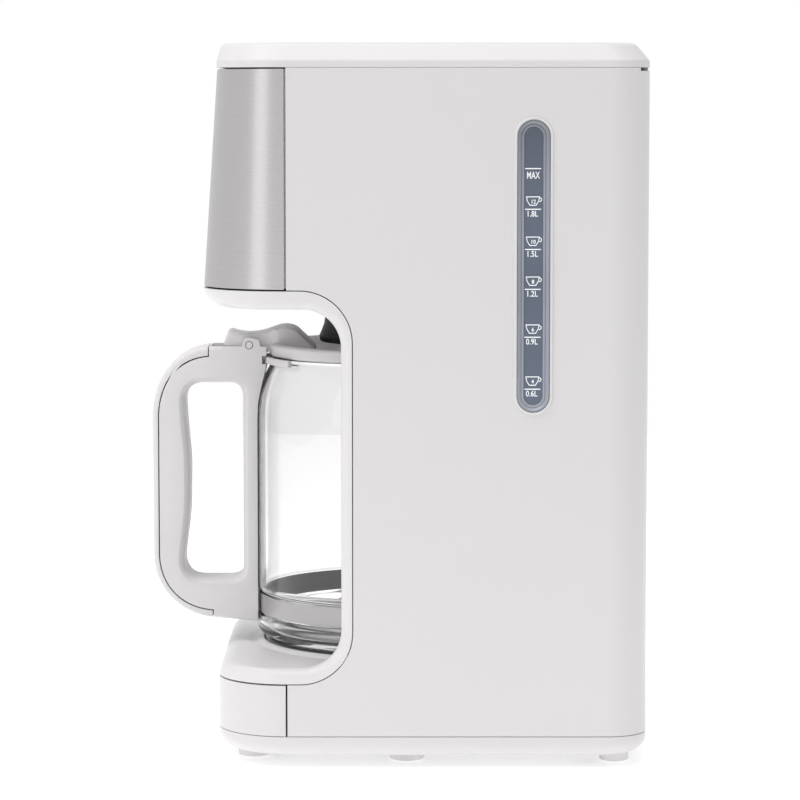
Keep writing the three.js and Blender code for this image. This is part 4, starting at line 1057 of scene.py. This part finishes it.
class MAKER_OT_basket(bpy.types.Operator):
    """Add the brew basket with its skirt, the mesh filter, the basket's handle and the drip stop"""
    bl_idname = "maker.basket"
    bl_label = "Brew Basket"

    def execute(self, context):
        profile = [
            (6, 228), (6, 225.5), (34, 225.5), (34.3, 222), (34.6, 219), (35.6, 215), (36.9, 211),
            (37, 208.2), (37.4, 207.6), (38.8, 207.6), (39.4, 208.1), (39.8, 210.3), (38.4, 213.6),
            (37.2, 217), (36.6, 221), (36.6, 234.5), (44, 235.2), (50, 236.5), (54.5, 239), (57, 243),
            (59.8, 338), (60, 341.3),
            (63.2, 341.3), (63.5, 341.6), (63.5, 343), (63.2, 343.3), (57.9, 343.3), (57.6, 343), (57.4, 338),
            (54.6, 244.5), (52.5, 241.2), (49, 238.9), (34.2, 236.5), (34.2, 229.5), (12, 228),
        ]
        deliver(turned("basket", profile, closed=True), "basket_black", "machine", "filter_basket")
        self.filter()
        deliver(finer("basket_handle", "basket_bail", 0.6, 3), "basket_black", "machine", "basket_handle")
        refine("drip_stop", "_turned", 45, ("drip_stop_plunger", "basket_black", 0.25),
               ("drip_stop_seal", "silicone_hose", 0.25))
        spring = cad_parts["drip_stop_spring"].data
        spring.materials.clear()
        spring.materials.append(finishes["zinc_steel"])
        return {"FINISHED"}

    def filter(self):
        """The woven cone, in a moulded frame of rim and ribs"""
        cone = turned("mesh_cone", [(0, 241.2), (35.6, 241.2), (36, 241.9), (47.4, 248.5), (54.2, 338),
                                    (53.6, 338), (46.8, 249), (35.5, 242.2), (0, 242.2)])
        deliver(cone, "filter_mesh", "machine", "mesh_filter")
        rim = turned("mesh_rim", [(54.1, 336.5), (54.5, 336.5), (54.9, 338), (56.6, 338), (56.6, 339.4),
                                  (53.4, 339.4), (53.3, 336.5)], closed=True)
        framework = join(rim, *[self.rib(i * math.pi / 4) for i in range(8)])
        framework.name = "mesh_filter_frame"
        deliver(framework, "basket_black", "machine")

    def rib(self, angle):
        """An inner rib of the filter, down its slope at an angle"""
        outline = [(46.7, 249), (53.5, 338), (52.6, 338), (45.8, 249)]
        piece = slab("rib", [(r, -0.8, z) for r, z in outline], (0, 1.6, 0))
        with Editing(piece) as edit:
            edit.all()
            bpy.ops.transform.rotate(value=angle, orient_axis="Z", center_override=(0, 0, 0))
        return piece


class MAKER_OT_heater(bpy.types.Operator):
    """Add the warming plate and the parts of the heater under it"""
    bl_idname = "maker.heater"
    bl_label = "Heater"

    def execute(self, context):
        low, high = box_mm("warming_plate")
        r, top = high.x, high.z
        groove, thickness = top - 0.35, 1.8
        profile = [(0, top - 0.5), (28, top - 0.5), (29, top), (57, top), (58, groove), (64.5, groove),
                   (65.5, top), (r - 1.5, top - 0.05), (r - 0.6, top - 0.45), (r, top - 1.3), (r, low.z),
                   (r - 1.4, low.z), (r - 1.4, top - thickness), (0, top - thickness)]
        deliver(turned("hot_plate", profile, 128), "plate_coating", "machine", "warming_plate")
        refine("machine", "_finished", 50,
               ("heating_element", "heater_aluminium", 0.4), ("heater_bracket", "zinc_steel", 0.5),
               ("thermostat", "heater_aluminium", 0.5), ("thermal_fuse", "zinc_steel", 0.3))
        return {"FINISHED"}


class MAKER_OT_inside(bpy.types.Operator):
    """Add the tank, deck, hoses, valve, spout, boards and cord gland"""
    bl_idname = "maker.inside"
    bl_label = "Inside Parts"

    def execute(self, context):
        refine("machine", "_finished", 50,
               ("top_deck", "liner_white", 0.4), ("water_tank", "tank_clear", 0.6),
               ("tank_outlet_hose", "silicone_hose", 0.3), ("check_valve", "liner_white", 0.5),
               ("heater_inlet_hose", "silicone_hose", 0.2), ("riser_hose", "silicone_hose", 0.2),
               ("outlet_spout", "liner_white", 0.25), ("control_board", "board_green", 0.2),
               ("power_board", "board_green", 0.3), ("cord_gland", "body_white", 0.4))
        return {"FINISHED"}


class MAKER_OT_carafe(bpy.types.Operator):
    """Add the blown glass, the metal band with its screw, and the neck clip"""
    bl_idname = "maker.carafe"
    bl_label = "Carafe"

    def execute(self, context):
        glass = turned("glass_jug", [*self.outside(), *self.inside(72.8 - CARAFE.glass_wall)], 160)
        deliver(glass, "carafe_glass", "carafe", "carafe_glass", smooth=60)
        low, high = (corner.z for corner in box_mm("carafe_band"))
        band = turned("steel_band", [(71.02, low + 0.3), (71.2, low), (71.55, low), (71.7, low + 0.25),
                                     (71.7, high - 0.25), (71.55, high), (71.2, high), (71.02, high - 0.3)],
                      160, closed=True)
        deliver(band, "brushed_panel", "carafe", "carafe_band", smooth=50, finish="brushed_band")
        screw = finer("band_screw", "handle_screw", 0.3)
        carve(screw, block("slot", (-4, -82.5, 70.8), (4, -81.1, 71.6)))
        deliver(screw, "zinc_steel", "carafe", "band_screw")
        self.clip()
        return {"FINISHED"}

    def outside(self):
        """The glass's outer profile, from the middle of its foot to the lip"""
        return path(
            (0, 54.6), (58, 54.6), (60.5, 53.6), (63, 53.05), (66, 53.0), (68.6, 53.5), (70.8, 55),
            (72.2, 57.4), (72.8, 60.4), (72.7, 63.2), (72.1, 64.6), (71.1, 65.3), (70.7, 66), (70.7, 76.4),
            (71.1, 77.1), (72.1, 77.8), (72.7, 79.2), (72.8, 81), (72.8, 168),
            ((72.8, 182), (68.4, 190), (65.6, 195.2), 14), ((64.4, 197.2), (63.8, 198), (63.8, 199.5), 4))

    def inside(self, radius):
        """The inner profile, from the lip down to the middle of the floor"""
        return path(
            (63.3, 200), (62.1, 200), (61.6, 199.5), (61.6, 198), ((64, 194), (70.6, 183), (radius, 168), 14),
            (radius, 81), (70.2, 78.6), (68.6, 77), (68.4, 76), (68.4, 66), (68.8, 65), (70, 63.6),
            (70.4, 61.5), (69.9, 59.2), (68.4, 57.4), (66, 56.4), (62, 56.2), (0, 56.6))

    def clip(self):
        """A strap round the neck"""
        inner, outer, low, high, half_angle = 66.4, 68.6, 196.6, 200.1, math.radians(37)
        sideways, ahead = math.sin(half_angle), -math.cos(half_angle)
        section = [(inner, low), (outer, low), (outer, high), (inner, high)]
        piece = trace("clip", [(r * sideways, r * ahead, z) for r, z in section], filled=True)
        with Editing(piece) as edit:
            edit.all()
            bpy.ops.mesh.spin(steps=28, angle=2 * half_angle, center=(0, 0, 0), axis=(0, 0, 1))
            edit.tidy()
        round_edges(piece, 0.35, 2, 50)
        deliver(piece, "handle_white", "carafe", "neck_clip")


class MAKER_OT_handle(bpy.types.Operator):
    """Add the carafe's handle, the outer cover of its grip, its lid with the thumb lever, and the pin"""
    bl_idname = "maker.handle"
    bl_label = "Handle and Carafe Lid"

    HALF_WIDTH = 14.0
    LEVER_HALF = 10.4
    PIVOT_Y, PIVOT_Z = -76.0, 206.1
    PIN_RADIUS = 1.8

    def execute(self, context):
        self.handle()
        self.cover()
        self.lid()
        pin = self.pivot_rod("lid_pin", self.PIN_RADIUS, self.HALF_WIDTH + 0.2)
        with Editing(pin) as edit:
            edit.pick("FACE", lambda f: abs(f.normal.x) > 0.9)
            bpy.ops.mesh.inset(thickness=0.35 * MM, depth=0.0, use_individual=True)
            bpy.ops.mesh.inset(thickness=0.25 * MM, depth=-0.25 * MM, use_individual=True)
        round_edges(pin, 0.2, 2, 60)
        deliver(pin, "handle_white", "carafe", "lid_pivot_pin")
        return {"FINISHED"}

    def pivot_rod(self, name, radius, end):
        """A rod along the lid's pivot"""
        return rod(name, radius, (-end, self.PIVOT_Y, self.PIVOT_Z), (end, self.PIVOT_Y, self.PIVOT_Z))

    def silhouette(self):
        """Side view of the grip and its strap, from the top inside round the back to the bottom"""
        back = -126.5
        return path(
            (-66, 203), (-66, 205.4), (-95, 205.4), ((-112, 205), (back + 0.4, 192), (back, 168), 16),
            (back + 0.2, 96), ((back + 0.4, 76), (-110, 63.4), (-94, 62.8), 14), (-73.4, 61.2), (-66, 61.2))

    def opening(self):
        """Side view of the space for the fingers"""
        return path(
            (-101, 186.4), ((-107, 186), (-110.4, 181), (-109.6, 175), 6),
            ((-109.2, 162), (-107.4, 152), (-107.2, 144), 6),
            (-107.4, 123), ((-107.8, 112), (-109.6, 104), (-110.4, 94), 6),
            ((-110.4, 87), (-107, 83.6), (-101, 83.4), 6),
            (-86, 83.4), ((-81.5, 83.6), (-79.6, 86), (-79.6, 90), 6),
            (-79.4, 179), ((-79.6, 184), (-82, 186.2), (-86, 186.4), 6))

    def cover_zone(self, g=0.0):
        """The part of the side view that belongs to the outer cover, grown by g"""
        return path(
            (-97.4 + g, 215), (-97.4 + g, 200.6 - g),
            ((-111 + g, 199.6 - g), (-122.4 + g, 190), (-123.6 + g, 170), 16),
            (-123.6 + g, 96), ((-123 + g, 78), (-110 + g, 67.4 + g), (-95.6 + g, 66.8 + g), 14),
            (-95.6 + g, 50), (-140, 50), (-140, 215))

    def rounded_bar(self, name):
        """The grip before it is parted: outer edges softly rounded, opening well rounded"""
        half, rim = self.HALF_WIDTH, self.opening()
        piece = across(name, self.silhouette(), -half, half)
        carve(piece, across("opening", rim, -half - 5, half + 5))

        def on_opening(v):
            return abs(v.x) > half - EPS and min((Vector((v.y, v.z)) - p).length for p in rim) < 0.02

        def on_outside(a, b):
            back = a.y < -70 and b.y < -70 and abs(a.x - b.x) < EPS and abs(a.x) > half - EPS
            return back and not on_opening(a) and not on_opening(b)
        bevel_where(piece, lambda a, b: on_opening(a) and on_opening(b) and abs(a.x - b.x) < EPS,
                    CARAFE.grip_edge, 6)
        return bevel_where(piece, on_outside, CARAFE.handle_edge, 4)

    def handle(self):
        half, slot = self.HALF_WIDTH, self.LEVER_HALF + 0.4
        piece = self.rounded_bar("grip")
        corners = [(-81, 200, 0), (-69.4, 200, 0), (-70.6, 209.2, 2.2), (-78, 210.6, 2.2), (-79.4, 207, 2.0)]
        ear = fillet(corners, 5)
        for x in (-half, half - 4):
            unite(piece, round_edges(across("ear", ear, x, x + 4), 0.4, 2))
        carve(piece, across("cover_cutter", self.cover_zone(0.55), -40, 40),
              self.glass_room(),
              block("lever_slot", (-slot, -96, 200.8), (slot, -60, 220)),
              block("clip_slot", (-20, -69.3, 196.3), (20, -60, 200.4)),
              self.pivot_rod("pin_bore", self.PIN_RADIUS + GAP, 40),
              rod("screw_bore", 1.9, (0, -83, 71.2), (0, -60, 71.2)),
              rod("screw_head_bore", 3.6, (0, -90, 71.2), (0, -77.6, 71.2)),
              turned("band_slot", [(0, 65.8), (72.1, 65.8), (72.1, 76.6), (0, 76.6)]))
        clean(piece)
        round_edges(piece, 0.35, 2, 50)
        deliver(piece, "handle_white", "carafe", "carafe_handle", smooth=40)

    def glass_room(self):
        """What the handle's strap leaves free round the glass"""
        profile = [(0, 48), (73.2, 48), (73.2, 168), (72.8, 176), (71.5, 182.5), (70.2, 188.5), (68.9, 194),
                   (68.5, 198.5), (68.5, 215), (0, 215)]
        return turned("glass_room", profile, 128)

    def cover(self):
        piece = self.rounded_bar("grip_cover")
        carve(piece, across("cover_zone", self.cover_zone(), -40, 40), operation="INTERSECT")
        clean(piece)
        round_edges(piece, 0.3, 2, 50)
        deliver(piece, "handle_white", "carafe", "handle_cover", smooth=40)

    def lid(self):
        """The disc with its rim and plug, and the lever that turns about the pin"""
        low, high, radius, plug, room = 200.3, 206.8, 65.7, 60.8, self.LEVER_HALF + 4.2
        profile = [
            (7, 200.6), (7, 199), (7.4, 198.6), (44, 198.6), (56, low), (plug - 2, low), (plug - 2, 198.9),
            (plug - 1.6, 198.6), (plug - 0.3, 198.6), (plug, 198.9), (plug, low + 0.2),
            (radius - 0.6, low + 0.2), (radius, low + 0.8), (radius, high - 1.6), (radius - 0.4, high - 0.6),
            (radius - 1.4, high), (61.6, high), (60.6, high - 0.4), (52, 203.6), (50, 202.6), (46, 200.6),
        ]
        piece = turned("jug_lid", profile, 128, closed=True)
        unite(piece, self.lever())
        carve(piece, block("rim_cut", (-room, -70.4, 195), (room, -62, 200.4)),
              self.pivot_rod("lid_bore", self.PIN_RADIUS + GAP, 40))
        clean(piece)
        deliver(piece, "handle_white", "carafe_cover", "carafe_lid", smooth=40)

    def lever(self):
        """The thumb lever, a wavy bar that runs on over the lid and widens there"""
        half, shoulder, widening = self.LEVER_HALF, (-66.0, -61.0), 1.3
        outline = path(
            (-89.8, 205.8), (-87, 213.3), (-85.5, 213.6), ((-79, 211.4), (-73, 211.4), (-66.4, 213.6), 8),
            ((-60, 216.2), (-54.5, 217), (-50.4, 213.4), 10), (-43.4, 206.8), (-41.8, 205), (-41.8, 201),
            (-62, 201), (-66.5, 202.8), (-86, 203.2))
        piece = across("lever", outline, -half, half)
        with Editing(piece) as edit:
            for y in shoulder:
                edit.all()
                bpy.ops.mesh.bisect(plane_co=(0, y * MM, 0), plane_no=(0, 1, 0))
            edit.pick("VERT", lambda v: v.co.y / MM > shoulder[1] - EPS)
            bpy.ops.transform.resize(value=(widening, 1, 1), center_override=(0, 0, 0))
        bevel_where(piece, lambda a, b: a.x * b.x > 0 and min(abs(a.x), abs(b.x)) > half - EPS
                    and min(a.z, b.z) > 203, CARAFE.lever_edge, 4)
        return round_edges(piece, 0.8, 3, 50)


class MAKER_OT_stage(bpy.types.Operator):
    """Add the pale floor, the soft studio lights and the camera"""
    bl_idname = "maker.stage"
    bl_label = "Stage"

    LIGHTS = (
        # name, place, aimed at, width, height, power, seen by
        ("overhead", (0.45, -0.3, 2.3), (0, 0, 0.2), 2.4, 2.4, 27.0, "both"),
        ("front_strip", (1.55, -1.40, 0.45), (0, 0, 0.25), 0.8, 2.8, 4.4, "gloss"),
        ("bay_fill", (0.5, -1.0, 2.0), (0, -0.06, 0.05), 1.0, 1.0, 13.0, "matt"),
        ("side_fill", (2.4, 1.6, 1.3), (0, 0, 0.2), 1.4, 1.4, 0.8, "both"),
    )

    def execute(self, context):
        self.floor()
        self.world()
        for settings in self.LIGHTS:
            self.light(*settings)
        self.camera()
        view = context.scene.view_settings
        view.view_transform = "Standard"
        view.look = "None"
        return {"FINISHED"}

    def floor(self):
        floor = settle(add(bpy.ops.mesh.primitive_plane_add, size=3, location=(0, 0, -0.0004)), "floor")
        finish = Finish("floor_white", (0.93, 0.93, 0.93), 0.9, Emission_Color=(1, 1, 1, 1),
                        Emission_Strength=0.38)
        finish.patterns(gloss=(3.0, 2.0, 0.85, 0.95))
        floor.data.materials.append(finish.material)

    def world(self):
        """White to the camera and through glass, dimmer in reflections, dimmest as a light"""
        world = bpy.data.worlds.new("studio")
        bpy.context.scene.world = world
        world.use_nodes = True
        nodes, links = world.node_tree.nodes, world.node_tree.links
        rays = nodes.new("ShaderNodeLightPath")
        unseen = nodes.new("ShaderNodeMapRange")
        unseen.inputs["To Min"].default_value = 0.87
        unseen.inputs["To Max"].default_value = 0.52
        links.new(rays.outputs["Is Diffuse Ray"], unseen.inputs["Value"])
        strength = unseen.outputs["Result"]
        for kind in ("Is Camera Ray", "Is Transmission Ray"):
            brighter = nodes.new("ShaderNodeMath")
            brighter.operation = "MAXIMUM"
            links.new(strength, brighter.inputs[0])
            links.new(rays.outputs[kind], brighter.inputs[1])
            strength = brighter.outputs["Value"]
        background = nodes["Background"]
        background.inputs["Color"].default_value = (1, 1, 1, 1)
        links.new(strength, background.inputs["Strength"])

    def light(self, name, place, aim, width, height, power, seen_by):
        light = add(bpy.ops.object.light_add, type="AREA", location=place)
        light.name = name
        light.rotation_euler = (Vector(aim) - Vector(place)).to_track_quat("-Z", "Y").to_euler()
        light.data.shape = "RECTANGLE"
        light.data.size, light.data.size_y = width, height
        light.data.energy = power
        light.visible_diffuse = seen_by != "gloss"
        light.visible_glossy = light.visible_transmission = seen_by != "matt"

    def camera(self):
        tilt = math.radians(5.41)
        camera = add(bpy.ops.object.camera_add, location=(1.699, 0.0025, 0.3371),
                     rotation=(math.pi / 2 - tilt, 0, math.pi / 2))
        camera.data.lens = 146.25
        camera.data.sensor_width = 36.0
        bpy.context.scene.camera = camera


class MAKER_PT_panel(bpy.types.Panel):
    """The coffee maker's pieces and settings"""
    bl_idname = "MAKER_PT_panel"
    bl_label = "Coffee Maker"
    bl_space_type = "VIEW_3D"
    bl_region_type = "UI"
    bl_category = "Coffee Maker"

    def draw(self, context):
        for group in GROUPS:
            settings = getattr(context.scene, group)
            column = self.layout.column(align=True)
            for name in settings.__annotations__:
                column.prop(settings, name)
        column = self.layout.column(align=True)
        for piece in PIECES:
            column.operator(piece.bl_idname)


PIECES = (
    MAKER_OT_stage, MAKER_OT_housing, MAKER_OT_front, MAKER_OT_bay, MAKER_OT_tray, MAKER_OT_lid,
    MAKER_OT_window, MAKER_OT_controls, MAKER_OT_basket, MAKER_OT_heater, MAKER_OT_inside, MAKER_OT_carafe,
    MAKER_OT_handle,
)
CLASSES = (*GROUPS.values(), *PIECES, MAKER_PT_panel)


def register():
    for kind in CLASSES:
        bpy.utils.register_class(kind)
    for name, group in GROUPS.items():
        setattr(bpy.types.Scene, name, bpy.props.PointerProperty(type=group))


def unregister():
    for name in GROUPS:
        delattr(bpy.types.Scene, name)
    for kind in reversed(CLASSES):
        bpy.utils.unregister_class(kind)


def main():
    register()
    make_finishes(bpy.context.scene.maker_colours)
    for piece in PIECES:
        family, action = piece.bl_idname.split(".")
        getattr(getattr(bpy.ops, family), action)()


if __name__ == "__main__":
    main()
